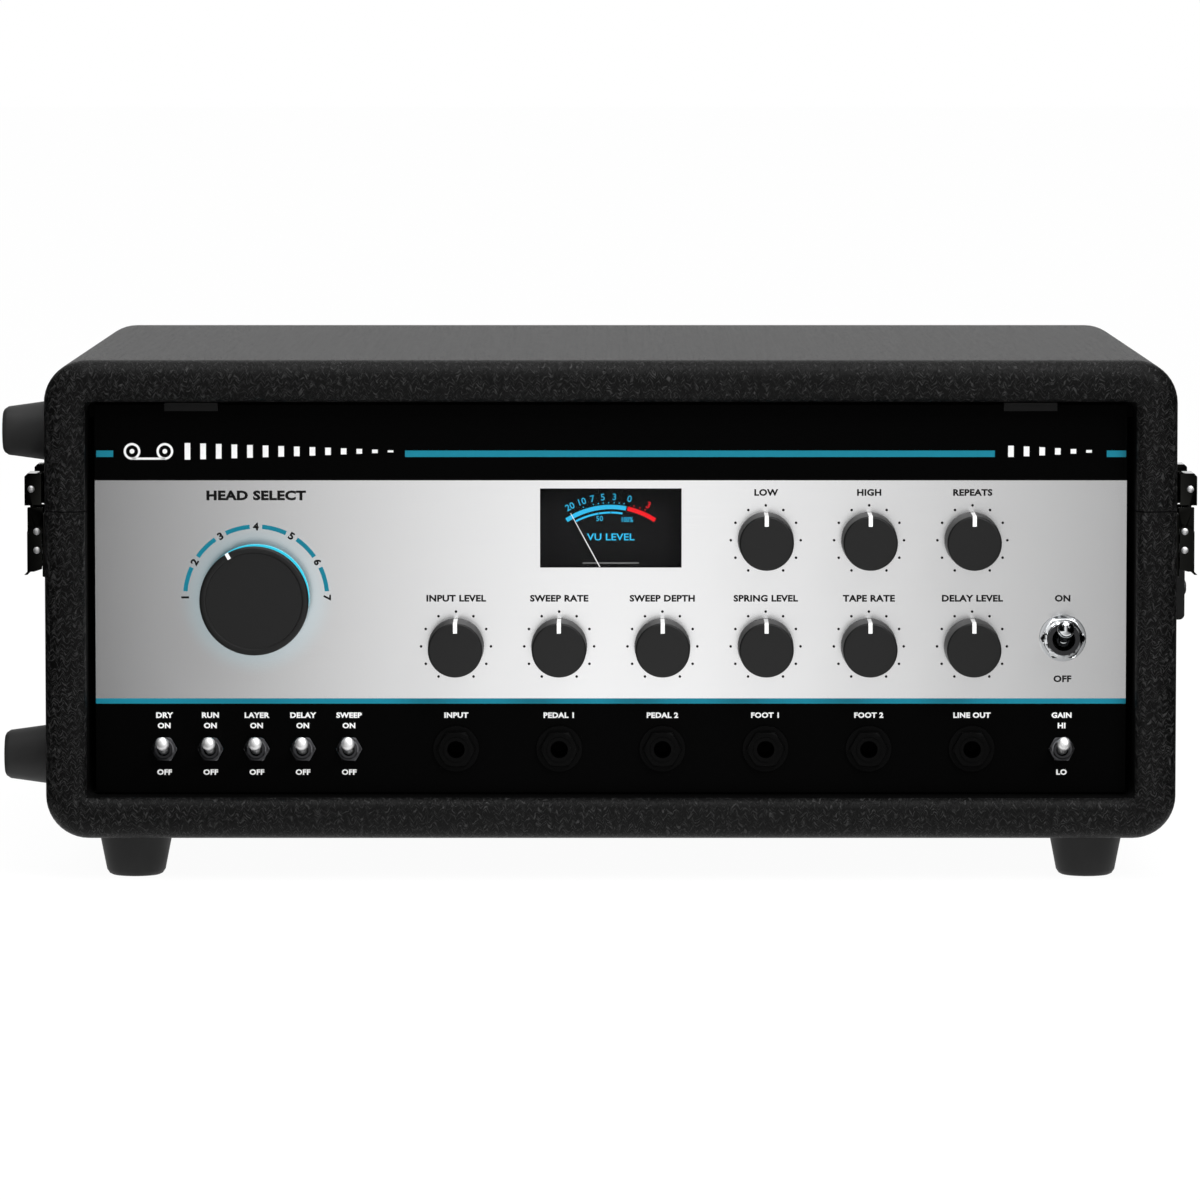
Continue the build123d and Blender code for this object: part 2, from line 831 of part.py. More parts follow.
with BuildPart() as rear_panel:
    slab((-panel_half_width, panel_half_width), (rear_inner_y, rear_face_y), panel_z)
    for face in rear_jack_faces:
        disc(face, jack_barrel_radius + panel_hole_gap, 0, -rear_panel_thickness, mode=Mode.SUBTRACT)
    disc(fuse_face, fuse_radius + panel_hole_gap, 0, -rear_panel_thickness, mode=Mode.SUBTRACT)
    block(
        inlet_face, inlet_body_width + 2 * panel_hole_gap, inlet_body_height + 2 * panel_hole_gap,
        0, -rear_panel_thickness, mode=Mode.SUBTRACT,
    )
    with BuildSketch(rear_face(vent_centre_x, vent_above_floor)):
        with GridLocations(vent_pitch, 0, vent_count, 1):
            SlotOverall(vent_height, vent_width, rotation=90)
    extrude(amount=-rear_panel_thickness, mode=Mode.SUBTRACT)
finish(rear_panel, "rear_panel")

with BuildPart() as chassis_tray:
    slab((-chassis_x, chassis_x), (panel_back, rear_inner_y), (floor_z, chassis_top))
    for side in (-1, 1):
        wall_x = sorted((side * chassis_x, side * (chassis_x - sheet)))
        ear_x = sorted((side * chassis_x, side * (chassis_x - chassis_ear_width)))
        slab(wall_x, (panel_back, rear_inner_y), (floor_z, floor_z + chassis_wall_height))
        for end, inward in ((panel_back, 1), (rear_inner_y, -1)):
            ear_y = sorted((end, end + inward * sheet))
            gusset_y = sorted((end, end + inward * chassis_ear_width))
            slab(ear_x, ear_y, (floor_z, panel_z[1]))
            slab(wall_x, gusset_y, (floor_z, panel_z[1]))
finish(chassis_tray, "chassis_tray")


# ---------------------------------------------------------------- knobs and what they turn
def knob_cap(face, base_radius, face_radius, skirt_gap, cavity_radius, edge):
    """Knob turned to its outer shape, hollow underneath and bored for its shaft."""
    cavity_top = skirt_gap + knob_cavity_depth
    bore_top = cavity_top + shaft_in_knob
    bore = shaft_radius + seat_gap
    turned(face, [
        (0, bore_top),
        (0, knob_height),
        (face_radius - edge, knob_height),
        (face_radius, knob_height - edge),
        (base_radius, skirt_gap),
        (cavity_radius, skirt_gap),
        (cavity_radius, cavity_top),
        (bore, cavity_top),
        (bore, bore_top),
    ])
    return bore_top


def control_shaft(face, top, body_depth):
    """Shaft from inside the control's body to the bottom of the knob's bore."""
    disc(face, shaft_radius, -panel_thickness - body_depth, top - seat_gap)


def control_body(face, body_radius, body_depth, neck_radius, flats):
    """Body behind the panel with its bushing and nut, bored for the shaft."""
    nut(face, flats, neck_radius + seat_gap, seat_gap, nut_thickness)
    disc(face, body_radius, -panel_thickness - body_depth, -panel_thickness)
    disc(face, neck_radius, -panel_thickness, bushing_reach)
    disc(
        face, shaft_radius + running_gap, -panel_thickness - shaft_in_body - moving_gap, bushing_reach,
        mode=Mode.SUBTRACT,
    )


with BuildPart() as pot_bodies:
    for face in knob_faces:
        control_body(face, pot_body_radius, pot_body_depth, bushing_radius, pot_nut_flats)
finish(pot_bodies, "pot_bodies")

with BuildPart() as mode_switch:
    control_body(mode_face, rotary_body_radius, rotary_body_depth, rotary_bushing_radius, rotary_nut_flats)
finish(mode_switch, "mode_switch")

with BuildPart() as glow_ring:
    disc(mode_face, glow_outer_radius, 0, glow_thickness)
    disc(mode_face, glow_inner_radius, 0, glow_thickness, mode=Mode.SUBTRACT)
finish(glow_ring, "glow_ring")

for face, name in zip(knob_faces, knob_names):
    with BuildPart() as pot_knob:
        bore_top = knob_cap(
            face, knob_base_radius, knob_face_radius, knob_skirt_gap, knob_cavity_radius, knob_edge
        )
        pointer_centre = knob_face_radius - knob_edge - knob_pointer_length / 2
        pointer_face = Plane(
            origin=face.origin + face.y_dir * pointer_centre, x_dir=face.x_dir, z_dir=face.z_dir
        )
        block(
            pointer_face, knob_pointer_width, knob_pointer_length,
            knob_height - knob_edge, knob_height + knob_pointer_rise,
        )
        control_shaft(face, bore_top, shaft_in_body)
    finish(pot_knob, name)

with BuildPart() as mode_knob:
    mode_bore_top = knob_cap(
        mode_face, mode_knob_radius, mode_knob_radius - mode_knob_taper, mode_knob_skirt_gap,
        mode_knob_cavity_radius, mode_knob_edge,
    )
    dish_radius = mode_knob_radius - mode_knob_taper - mode_knob_border
    disc(mode_face, dish_radius, knob_height - mode_knob_dish, knob_height, mode=Mode.SUBTRACT)
    tick_turn = radians(mode_rest_angle)
    tick_x_dir = mode_face.x_dir * cos(tick_turn) + mode_face.y_dir * sin(tick_turn)
    tick_face = Plane(
        origin=mode_face.origin + tick_x_dir * (dish_radius - mode_knob_border / 2),
        x_dir=tick_x_dir, z_dir=mode_face.z_dir,
    )
    block(
        tick_face, mode_knob_border, knob_pointer_width,
        knob_height - 2 * mode_knob_dish, knob_height - mode_knob_dish / 2,
    )
    control_shaft(mode_face, mode_bore_top, shaft_in_body)
finish(mode_knob, "mode_knob")

board_front = panel_back + pot_body_depth
with BuildPart() as control_board:
    board_y = (board_front, board_front + board_thickness)
    board_low = case_bottom + knob_row_low - board_margin
    lower_z = (board_low, case_bottom + meter_window_bottom - meter_bottom_margin - sheet)
    upper_z = (lower_z[0], case_bottom + knob_row_high + board_margin)
    board_x = (knob_columns[0] - board_margin, knob_columns[-1] + board_margin)
    slab(board_x, board_y, lower_z)
    slab((upper_columns[0] - board_margin, board_x[1]), board_y, upper_z)
    for x, height in knob_points:
        solder_z = about(case_bottom + height, sheet)
        slab(about(x, pot_body_radius), (board_y[1], board_y[1] + sheet), solder_z)
finish(control_board, "control_board")


# ---------------------------------------------------------------- toggle switches
def toggle_nut(face, flats, neck_radius, low, high):
    """Nut that clamps a switch to the panel, clear of the bushing's thread."""
    nut(face, flats, neck_radius + seat_gap, low + seat_gap, high)


def toggle_body(face, width, height, depth, neck_radius, bore, reach):
    """Switch body with its threaded bushing, open at the front for the lever."""
    block(face, width, height, -panel_thickness - depth, -panel_thickness)
    disc(face, neck_radius, -panel_thickness, reach)
    disc(face, bore, -panel_thickness - bore, reach, mode=Mode.SUBTRACT)


def toggle_lever(face, pivot_height, tilt, ball_radius, stem_radius, tip_radius, length):
    """Bat lever tilted up from its pivot, with its ball and the cross pin that it turns on."""
    pivot = face.origin + face.z_dir * pivot_height
    tip_dir = face.z_dir * cos(radians(tilt)) + face.y_dir * sin(radians(tilt))
    lever = Plane(origin=pivot, x_dir=face.x_dir, z_dir=tip_dir)
    tip_step = radians(30)
    cross = Plane(origin=pivot, x_dir=face.y_dir, z_dir=face.x_dir)
    pin_half = ball_radius + toggle_pin_reach
    with Locations(pivot):
        Sphere(ball_radius)
    disc(cross, ball_radius * toggle_pin_share, -pin_half, pin_half)
    turned(lever, [
        (0, 0), (stem_radius, 0), (stem_radius, ball_radius),
        (tip_radius, length - tip_radius), (tip_radius * cos(tip_step), length - tip_radius / 2),
        (tip_radius / 2, length - tip_radius * (1 - cos(tip_step))), (0, length),
    ])


with BuildPart() as toggle_bodies:
    disc(power_face, power_washer_radius, seat_gap, power_washer_thickness)
    toggle_nut(
        power_face, power_nut_flats, power_bushing_radius, power_washer_thickness,
        power_washer_thickness + power_nut_thickness,
    )
    disc(
        power_face, power_bushing_radius + seat_gap, seat_gap, power_washer_thickness,
        mode=Mode.SUBTRACT,
    )
    toggle_body(
        power_face, power_body_width, power_body_height, power_body_depth, power_bushing_radius,
        power_bushing_bore, power_bushing_reach,
    )
    for face in mini_faces:
        toggle_nut(face, mini_nut_flats, mini_bushing_radius, 0, nut_thickness)
        toggle_body(
            face, mini_body_width, mini_body_height, mini_body_depth, mini_bushing_radius,
            mini_bushing_bore, mini_bushing_reach,
        )
finish(toggle_bodies, "toggle_bodies")

with BuildPart() as power_lever:
    toggle_lever(
        power_face, power_bushing_reach - power_pivot_depth, power_tilt, power_ball_radius,
        power_stem_radius, power_tip_radius, power_lever_length,
    )
finish(power_lever, "power_lever")

for face, name in zip(mini_faces, mini_names):
    with BuildPart() as mini_lever:
        toggle_lever(
            face, mini_bushing_reach - mini_pivot_depth, mini_tilt, mini_ball_radius,
            mini_stem_radius, mini_tip_radius, mini_lever_length,
        )
    finish(mini_lever, name)


# ---------------------------------------------------------------- jack sockets
def jack_socket(face, plate_thickness):
    """Quarter inch socket: body, threaded barrel, washer and nut, bored for the plug."""
    block(face, jack_body_size, jack_body_size, -plate_thickness - jack_body_depth, -plate_thickness)
    disc(face, jack_barrel_radius, -plate_thickness, jack_barrel_reach)
    disc(face, jack_bore, jack_barrel_reach - jack_bore_depth, jack_barrel_reach, mode=Mode.SUBTRACT)


def jack_nut(face):
    """Washer and nut on the outside of the panel, as one flanged piece."""
    disc(face, jack_washer_radius, seat_gap, jack_washer_thickness)
    hexagon(face, jack_nut_flats, jack_washer_thickness, jack_washer_thickness + jack_nut_thickness)
    disc(face, jack_barrel_radius + seat_gap, seat_gap, jack_barrel_reach, mode=Mode.SUBTRACT)


def jack_group(faces, plate_thickness):
    """Nuts first, then the sockets that pass through them."""
    for face in faces:
        jack_nut(face)
    for face in faces:
        jack_socket(face, plate_thickness)


with BuildPart() as front_jacks:
    jack_group(jack_faces, panel_thickness)
finish(front_jacks, "front_jacks")

with BuildPart() as rear_connectors:
    jack_group(rear_jack_faces, rear_panel_thickness)
    disc(fuse_face, fuse_cap_radius, 0, fuse_cap_height)
    disc(fuse_face, fuse_radius, -rear_panel_thickness - fuse_body_depth, 0)
    block(
        inlet_face, inlet_body_width, inlet_body_height,
        -rear_panel_thickness - inlet_body_depth, 0,
    )
    block(
        inlet_face, inlet_body_width + 2 * inlet_flange_margin, inlet_body_height + 2 * inlet_flange_margin,
        0, inlet_flange_thickness,
    )
    block(
        inlet_face, inlet_recess_width, inlet_recess_height,
        inlet_flange_thickness - inlet_recess_depth, inlet_flange_thickness, mode=Mode.SUBTRACT,
    )
    for pin_x, pin_z in ((-inlet_pin_pitch, 0), (0, inlet_pin_raise), (inlet_pin_pitch, 0)):
        pin_face = rear_face(inlet_x - pin_x, rear_height + pin_z)
        block(
            pin_face, inlet_pin_width, inlet_pin_height,
            inlet_flange_thickness - inlet_recess_depth,
            inlet_flange_thickness - inlet_recess_depth + inlet_pin_length,
        )
finish(rear_connectors, "rear_connectors")

# ---------------------------------------------------------------- level meter
meter_half = meter_window_width / 2 + meter_side_margin
meter_z = (
    case_bottom + meter_window_bottom - meter_bottom_margin,
    case_bottom + meter_window_bottom + meter_window_height + meter_top_margin,
)
meter_back = panel_back + meter_depth
dial_front = panel_back + meter_dial_inset
dial_back = dial_front + meter_dial_thickness
needle_face = front_face(0, meter_window_bottom - meter_pivot_drop)
needle_height = panel_front - dial_front + needle_dial_gap

with BuildPart() as meter_housing:
    slab((-meter_half, meter_half), (panel_back, meter_back), meter_z)
    slab(
        (meter_wall - meter_half, meter_half - meter_wall), (panel_back, meter_back - meter_wall),
        (meter_z[0] + meter_wall, meter_z[1] - meter_wall), mode=Mode.SUBTRACT,
    )
    slab((-meter_half, meter_half), (dial_front, dial_back), meter_z)
    disc(needle_face, meter_coil_radius, panel_front - meter_back + meter_wall, panel_front - dial_back)
    disc(
        needle_face, needle_pin_radius + running_gap, panel_front - dial_back - meter_coil_radius,
        panel_front - dial_front, mode=Mode.SUBTRACT,
    )
finish(meter_housing, "meter_housing")

with BuildPart() as meter_window:
    block(
        window_face, meter_window_width - 2 * panel_hole_gap, meter_window_height - 2 * panel_hole_gap,
        -meter_window_inset - meter_window_thickness, -meter_window_inset,
    )
finish(meter_window, "meter_window")

with BuildPart() as meter_needle:
    swing = radians(90 + needle_rest_angle)
    needle_dir = needle_face.x_dir * cos(swing) + needle_face.y_dir * sin(swing)
    blade_face = Plane(
        origin=needle_face.origin + needle_dir * (needle_length / 2),
        x_dir=needle_dir, z_dir=needle_face.z_dir,
    )
    block(blade_face, needle_length, needle_width, needle_height, needle_height + needle_thickness)
    disc(needle_face, needle_hub_radius, needle_height, needle_height + 2 * needle_thickness)
    disc(
        needle_face, needle_pin_radius, panel_front - dial_back - meter_coil_radius + moving_gap,
        needle_height,
    )
finish(meter_needle, "meter_needle")

# ---------------------------------------------------------------- electronics
board_bottom = chassis_top + board_standoff
board_top = board_bottom + board_thickness
transformer_right = transformer_side_gap - chassis_x + transformer_size[0]
pan_x = (transformer_right + pan_transformer_gap, chassis_x - pan_side_gap)
pan_y = (rear_inner_y - pan_back_gap - pan_width, rear_inner_y - pan_back_gap)
main_board_right = chassis_x - main_board_side_gap
main_board_x = (main_board_right - main_board_length, main_board_right)
chip_room = main_board_length - 2 * board_margin - chip_size[0] - chip_end_margin
chip_pitch = chip_room / (chip_count - 1)
main_board_y = (panel_back + main_board_front_gap, pan_y[0] - main_board_pan_gap)
with BuildPart() as main_board:
    slab(main_board_x, main_board_y, (board_bottom, board_top))
    for x in (main_board_x[0] + board_margin, main_board_x[1] - board_margin):
        for y in (main_board_y[0] + board_margin, main_board_y[1] - board_margin):
            disc(level(x, y, chassis_top), standoff_radius, 0, board_standoff)
    for step in range(chip_count):
        x = main_board_x[0] + 2 * board_margin + chip_pitch * step
        for (length, width, height), row in ((chip_size, chip_row), (relay_size, relay_row)):
            y = main_board_y[1] - row
            slab((x, x + length), (y, y + width), (board_top, board_top + height))
        can_face = level(x + chip_size[0] / 2, main_board_y[1] - capacitor_row, board_top)
        disc(can_face, capacitor_radius, 0, capacitor_height)
finish(main_board, "main_board")

with BuildPart() as mains_transformer:
    transformer_back = rear_inner_y - transformer_back_gap
    low_corner = (
        transformer_side_gap - chassis_x, transformer_back - transformer_size[1], chassis_top,
    )
    core = [(low, low + length) for low, length in zip(low_corner, transformer_size)]
    inset = [(low + transformer_winding, high - transformer_winding) for low, high in core]
    slab(core[0], inset[1], core[2])
    slab(inset[0], core[1], inset[2])
finish(mains_transformer, "mains_transformer")

with BuildPart() as reverb_pan:
    pan_z = (chassis_top, chassis_top + pan_height)
    slab(pan_x, pan_y, pan_z)
    slab(
        (pan_x[0] + pan_sheet, pan_x[1] - pan_sheet), (pan_y[0] + pan_sheet, pan_y[1] - pan_sheet),
        (pan_z[0] + pan_sheet, pan_z[1]), mode=Mode.SUBTRACT,
    )
    for end, inward in ((pan_x[0] + pan_sheet, 1), (pan_x[1] - pan_sheet, -1)):
        transducer_x = sorted((end, end + inward * transducer_length))
        slab(
            transducer_x, about(sum(pan_y) / 2, spring_count * spring_pitch_y),
            (pan_z[0] + pan_sheet, pan_z[0] + pan_sheet + transducer_size),
        )
finish(reverb_pan, "reverb_pan")

spring_start = pan_x[0] + pan_sheet + transducer_length + seat_gap
spring_end = pan_x[1] - pan_sheet - transducer_length - seat_gap
spring_z = pan_z[0] + pan_sheet + transducer_size / 2
with BuildPart() as reverb_springs:
    for step in range(spring_count):
        spring_y = sum(pan_y) / 2 + (step - (spring_count - 1) / 2) * spring_pitch_y
        axis_face = Plane(origin=(spring_start, spring_y, spring_z), x_dir=(0, 1, 0), z_dir=(1, 0, 0))
        coil_end = spring_end - spring_start - spring_lead
        disc(axis_face, spring_wire_radius, 0, spring_lead)
        disc(axis_face, spring_coil_radius, spring_lead, coil_end)
        disc(axis_face, spring_wire_radius, coil_end, coil_end + spring_lead)
        disc(
            axis_face, spring_coil_radius - 2 * spring_wire_radius, spring_lead + spring_wire_radius,
            coil_end - spring_wire_radius, mode=Mode.SUBTRACT,
        )
finish(reverb_springs, "reverb_springs")

# ---------------------------------------------------------------- tape deck
head_line_y = deck_front + head_line_inset
tape_half_span = deck_half - tape_side_inset
tank_half_width = tape_half_span + tank_side_room
tank_front = head_line_y + tank_head_gap
tank_back = deck_back - tank_back_inset
capstan_x = deck_half - capstan_inset
pinch_pivot_x = capstan_x + pinch_pivot_out
pinch_pivot_y = head_line_y - pinch_pivot_back
head_first_x = head_start - tape_half_span
capstan_y = head_line_y + tape_thickness / 2 + tape_gap + capstan_radius
pinch_y = head_line_y - tape_thickness / 2 - tape_gap - pinch_radius
capstan_face = level(capstan_x, capstan_y, deck_top)
pivot_face = level(pinch_pivot_x, pinch_pivot_y, deck_top)
pinch_face = level(capstan_x, pinch_y, deck_top)
arm_low = bearing_above - pinch_arm_thickness
arm_high = bearing_above
collar_low = bearing_above + moving_gap
collar_high = collar_low + collar_thickness
roller_low = collar_high + 2 * moving_gap

with BuildPart() as deck_plate:
    slab((-deck_half, deck_half), (deck_front, deck_back), (deck_bottom, deck_top))
    for x in (deck_post_inset - deck_half, deck_half - deck_post_inset):
        for y in (deck_front + 2 * deck_post_inset, deck_back - 2 * deck_post_inset):
            disc(level(x, y, chassis_top), deck_post_radius, 0, deck_bottom - chassis_top)
    disc(capstan_face, bearing_radius, -deck_thickness - bearing_below, bearing_above)
    disc(
        capstan_face, capstan_radius + running_gap, -deck_thickness - bearing_below, bearing_above,
        mode=Mode.SUBTRACT,
    )
    disc(pivot_face, pinch_pivot_radius + deck_thickness, 0, arm_low - moving_gap)
    disc(pivot_face, pinch_pivot_radius, 0, arm_high + moving_gap)
finish(deck_plate, "deck_plate")

flywheel_top = -deck_thickness - bearing_below - flywheel_drop
with BuildPart() as capstan:
    disc(capstan_face, flywheel_radius, flywheel_top - flywheel_thickness, flywheel_top)
    disc(capstan_face, capstan_radius, flywheel_top, capstan_top)
    disc(capstan_face, collar_radius, collar_low, collar_high)
finish(capstan, "capstan")

motor_x = capstan_x - motor_distance
motor_face = level(motor_x, capstan_y, deck_bottom)
pulley_high = deck_top + flywheel_top - deck_bottom
pulley_low = pulley_high - flywheel_thickness
motor_top = pulley_low - motor_shaft_gap
motor_bottom = board_top + capacitor_height + motor_floor_gap - deck_bottom
with BuildPart() as capstan_motor:
    disc(motor_face, motor_radius, motor_bottom, motor_top)
    for turn in range(motor_post_count):
        post_angle = 2 * pi * (turn + 0.5) / motor_post_count
        post_face = level(
            motor_x + motor_post_circle * cos(post_angle),
            capstan_y + motor_post_circle * sin(post_angle), deck_bottom,
        )
        disc(post_face, motor_post_radius, motor_top, 0)
    disc(motor_face, pulley_bore + running_gap, motor_top - motor_shaft_gap, motor_top, mode=Mode.SUBTRACT)
finish(capstan_motor, "capstan_motor")

with BuildPart() as motor_pulley:
    disc(motor_face, pulley_radius, pulley_low, pulley_high)
    disc(motor_face, pulley_bore, motor_top - motor_shaft_gap + moving_gap, pulley_low)
finish(motor_pulley, "motor_pulley")

with BuildPart() as drive_belt:
    belt_middle = deck_bottom + (pulley_low + pulley_high) / 2
    with BuildSketch(Plane.XY.offset(belt_middle - belt_height / 2)):
        for growth, cut in ((moving_gap + belt_thickness, Mode.ADD), (moving_gap, Mode.SUBTRACT)):
            with BuildSketch(mode=cut):
                with Locations((capstan_x, capstan_y)):
                    Circle(flywheel_radius + growth)
                with Locations((motor_x, capstan_y)):
                    Circle(pulley_radius + growth)
                make_hull()
    extrude(amount=belt_height)
finish(drive_belt, "drive_belt")

with BuildPart() as pinch_arm:
    with BuildSketch(Plane.XY.offset(deck_top + arm_low)):
        with Locations((capstan_x, pinch_y), (pinch_pivot_x, pinch_pivot_y)):
            Circle(pinch_arm_radius)
        make_hull()
    extrude(amount=pinch_arm_thickness)
    disc(pivot_face, pinch_pivot_radius + running_gap, arm_low, arm_high, mode=Mode.SUBTRACT)
    disc(pinch_face, pinch_pin_radius + pinch_shoulder, arm_high, roller_low - moving_gap)
    disc(pinch_face, pinch_pin_radius, arm_high, roller_low + pinch_height)
finish(pinch_arm, "pinch_arm")

with BuildPart() as pinch_roller:
    disc(pinch_face, pinch_radius, roller_low, roller_low + pinch_height)
    disc(
        pinch_face, pinch_pin_radius + running_gap, roller_low, roller_low + pinch_height,
        mode=Mode.SUBTRACT,
    )
finish(pinch_roller, "pinch_roller")

with BuildPart() as tape_heads:
    nose_y = head_line_y + tape_thickness / 2 + tape_gap
    head_back = nose_y + head_depth
    head_z = (deck_top + head_lift, deck_top + head_lift + head_height)
    for spacing in head_spacing:
        slab(about(head_first_x + spacing, head_width), (nose_y + head_nose_radius, head_back), head_z)
        slab(about(head_first_x + spacing, head_width / 2), (nose_y, nose_y + head_nose_radius), head_z)
    bracket_x = (
        head_first_x - head_width / 2 - bracket_margin,
        head_first_x + head_spacing[-1] + head_width / 2 + bracket_margin,
    )
    plate_y = (head_back + seat_gap, head_back + seat_gap + bracket_sheet)
    slab(bracket_x, plate_y, (deck_top, deck_top + bracket_height))
    slab(bracket_x, (plate_y[0], plate_y[0] + bracket_foot), (deck_top, deck_top + bracket_sheet))
finish(tape_heads, "tape_heads")

with BuildPart() as tape_guides:
    guide_radius = tape_turn - tape_thickness - tape_gap
    for side in (-1, 1):
        guide_face = level(side * (tape_half_span - tape_turn), head_line_y + tape_turn, deck_top)
        flange_radius = guide_radius + guide_flange
        disc(guide_face, flange_radius - 2 * guide_flange, 0, tape_height - 2 * guide_flange)
        disc(guide_face, flange_radius, tape_height - 2 * guide_flange, tape_height - moving_gap)
        disc(guide_face, guide_radius, tape_height - moving_gap, guide_height + tape_width)
finish(tape_guides, "tape_guides")

tank_fold_front = tank_front + tank_fold_front_gap
tank_fold_back = tank_back - tank_fold_back_gap
with BuildPart() as tape_loop:
    folds = []
    for step in range(tank_fold_count):
        fold_x = tank_fold_pitch * ((tank_fold_count - 1) / 2 - step)
        ends = [(fold_x, tank_fold_back), (fold_x, tank_fold_front)]
        folds += ends if step % 2 == 0 else ends[::-1]
    front_run = [(-tape_half_span, head_line_y), (tape_half_span, head_line_y)]
    back_corners = [(tape_half_span, tank_fold_back), (-tape_half_span, tank_fold_back)]
    route = front_run + back_corners[:1] + folds + back_corners[1:]
    with BuildSketch(Plane.XY.offset(tape_z)):
        with BuildLine():
            FilletPolyline(*route, radius=tape_turn, close=True)
        make_face()
        offset(amount=-tape_thickness, mode=Mode.SUBTRACT)
    extrude(amount=tape_width)
finish(tape_loop, "tape_loop")

with BuildPart() as tape_tank:
    tank_z = (deck_top, deck_top + tank_height)
    slab((-tank_half_width, tank_half_width), (tank_front, tank_back), tank_z)
    slab(
        (tank_wall - tank_half_width, tank_half_width - tank_wall),
        (tank_front + tank_wall, tank_back - tank_wall), (tank_z[0] + tank_wall, tank_z[1]),
        mode=Mode.SUBTRACT,
    )
    for side in (-1, 1):
        slab(
            about(side * tape_half_span, tank_slot_width), (tank_front, tank_front + tank_wall),
            (tank_z[0] + tank_wall, tank_z[1]), mode=Mode.SUBTRACT,
        )
finish(tape_tank, "tape_tank")

with BuildPart() as tank_cover:
    cover_z = tank_z[1], tank_z[1] + cover_thickness
    slab(
        (-tank_half_width - cover_overhang, tank_half_width + cover_overhang),
        (tank_front - cover_overhang, tank_back + cover_overhang), cover_z,
    )
    for side in (-1, 1):
        screw_x = side * (tank_half_width - 2 * cover_screw_radius)
        screw_face = level(screw_x, (tank_front + tank_back) / 2, cover_z[1])
        disc(screw_face, cover_screw_radius, 0, cover_screw_height)
finish(tank_cover, "tank_cover")
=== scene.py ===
"""Looks of a tape echo unit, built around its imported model: the vinyl covered case, the printed
control panel with its knobs, switches, sockets and level meter, the latches, handle and feet,
the rear panel, and the tape deck and electronics inside.
"""
import json
from contextlib import contextmanager
from math import cos, pi, radians, sin

import bmesh
import bpy
from bpy.props import FloatProperty, FloatVectorProperty, PointerProperty
from mathutils import Matrix, Vector


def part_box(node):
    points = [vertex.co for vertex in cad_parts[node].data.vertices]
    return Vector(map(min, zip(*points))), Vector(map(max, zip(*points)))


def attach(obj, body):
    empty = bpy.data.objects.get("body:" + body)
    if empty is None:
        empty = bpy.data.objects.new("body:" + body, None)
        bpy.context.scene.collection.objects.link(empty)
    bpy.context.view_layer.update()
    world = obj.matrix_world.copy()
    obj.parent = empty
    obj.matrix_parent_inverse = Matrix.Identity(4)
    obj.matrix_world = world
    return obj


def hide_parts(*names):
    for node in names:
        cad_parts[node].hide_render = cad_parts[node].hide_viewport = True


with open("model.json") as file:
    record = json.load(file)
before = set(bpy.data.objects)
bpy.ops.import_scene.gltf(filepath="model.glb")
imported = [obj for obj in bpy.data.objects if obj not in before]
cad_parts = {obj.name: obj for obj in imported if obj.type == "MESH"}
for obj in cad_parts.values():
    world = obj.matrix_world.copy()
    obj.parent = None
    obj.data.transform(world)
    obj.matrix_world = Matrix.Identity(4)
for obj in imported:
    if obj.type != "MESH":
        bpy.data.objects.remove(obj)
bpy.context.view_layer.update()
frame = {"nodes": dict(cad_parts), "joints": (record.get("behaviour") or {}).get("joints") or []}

bl_info = {
    "name": "Tape echo unit",
    "version": (1, 0, 0),
    "blender": (4, 5, 0),
    "location": "View3D > Sidebar > Echo unit",
    "description": "Models the finish and details of a tape echo unit around its solid parts",
    "category": "Object",
}

MM = 0.001

# ---------------------------------------------------------------- places that follow from the frame
case_low, case_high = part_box("case_base")
lid_low, lid_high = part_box("lid")
PANEL_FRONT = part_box("glow_ring")[1].y
REAR_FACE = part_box("rear_panel")[1].y
CASE_BOTTOM = case_low.z
KNOBS = {
    "upper": ("bass_knob", "treble_knob", "repeat_knob"),
    "lower": (
        "input_knob", "mod_rate_knob", "mod_depth_knob", "reverb_knob", "tape_speed_knob", "echo_knob",
    ),
}
LEVER_TILT = 16.0
INK = 0.04  # thickness of a print, in mm
MINI_LEVERS = (
    "direct_switch_lever", "motor_switch_lever", "layer_switch_lever", "delay_switch_lever",
    "mod_switch_lever", "level_switch_lever",
)


def turned(axis, degrees):
    """Turn about an axis."""
    return Matrix.Rotation(radians(degrees), 4, axis)


def moved(x, y, z):
    """Shift by lengths in mm."""
    return Matrix.Translation((x * MM, y * MM, z * MM))


def on_front(x, z):
    """Placement on the control panel: Z points at the player and Y points up. Metres."""
    return Matrix.Translation((x, PANEL_FRONT, z)) @ turned("X", 90)


def on_panel(x, rise):
    """Placement on the control panel at an X in metres, a height in mm above the case's bottom."""
    return on_front(x, CASE_BOTTOM + rise * MM)


def on_rear(x, z):
    """Placement on the rear panel: Z points back and Y points up. Metres."""
    return Matrix.Translation((x, REAR_FACE, z)) @ turned("Z", 180) @ turned("X", 90)


def on_right(x, y, z):
    """Placement on the right side: Z points out and Y points up. Lengths in mm."""
    return moved(x, y, z) @ turned("Z", 90) @ turned("X", 90)


# ---------------------------------------------------------------- modelling helpers
def choose(*pieces):
    """Selects these pieces alone; the first is active."""
    bpy.ops.object.select_all(action="DESELECT")
    for piece in pieces:
        piece.select_set(True)
    bpy.context.view_layer.objects.active = pieces[0]


@contextmanager
def editing(piece, kind="FACE", everything=False):
    """Edit mode on one piece, with nothing or everything selected at first."""
    choose(piece)
    bpy.ops.object.mode_set(mode="EDIT")
    bpy.ops.mesh.select_mode(type=kind)
    bpy.ops.mesh.select_all(action="SELECT" if everything else "DESELECT")
    yield
    bpy.ops.object.mode_set(mode="OBJECT")


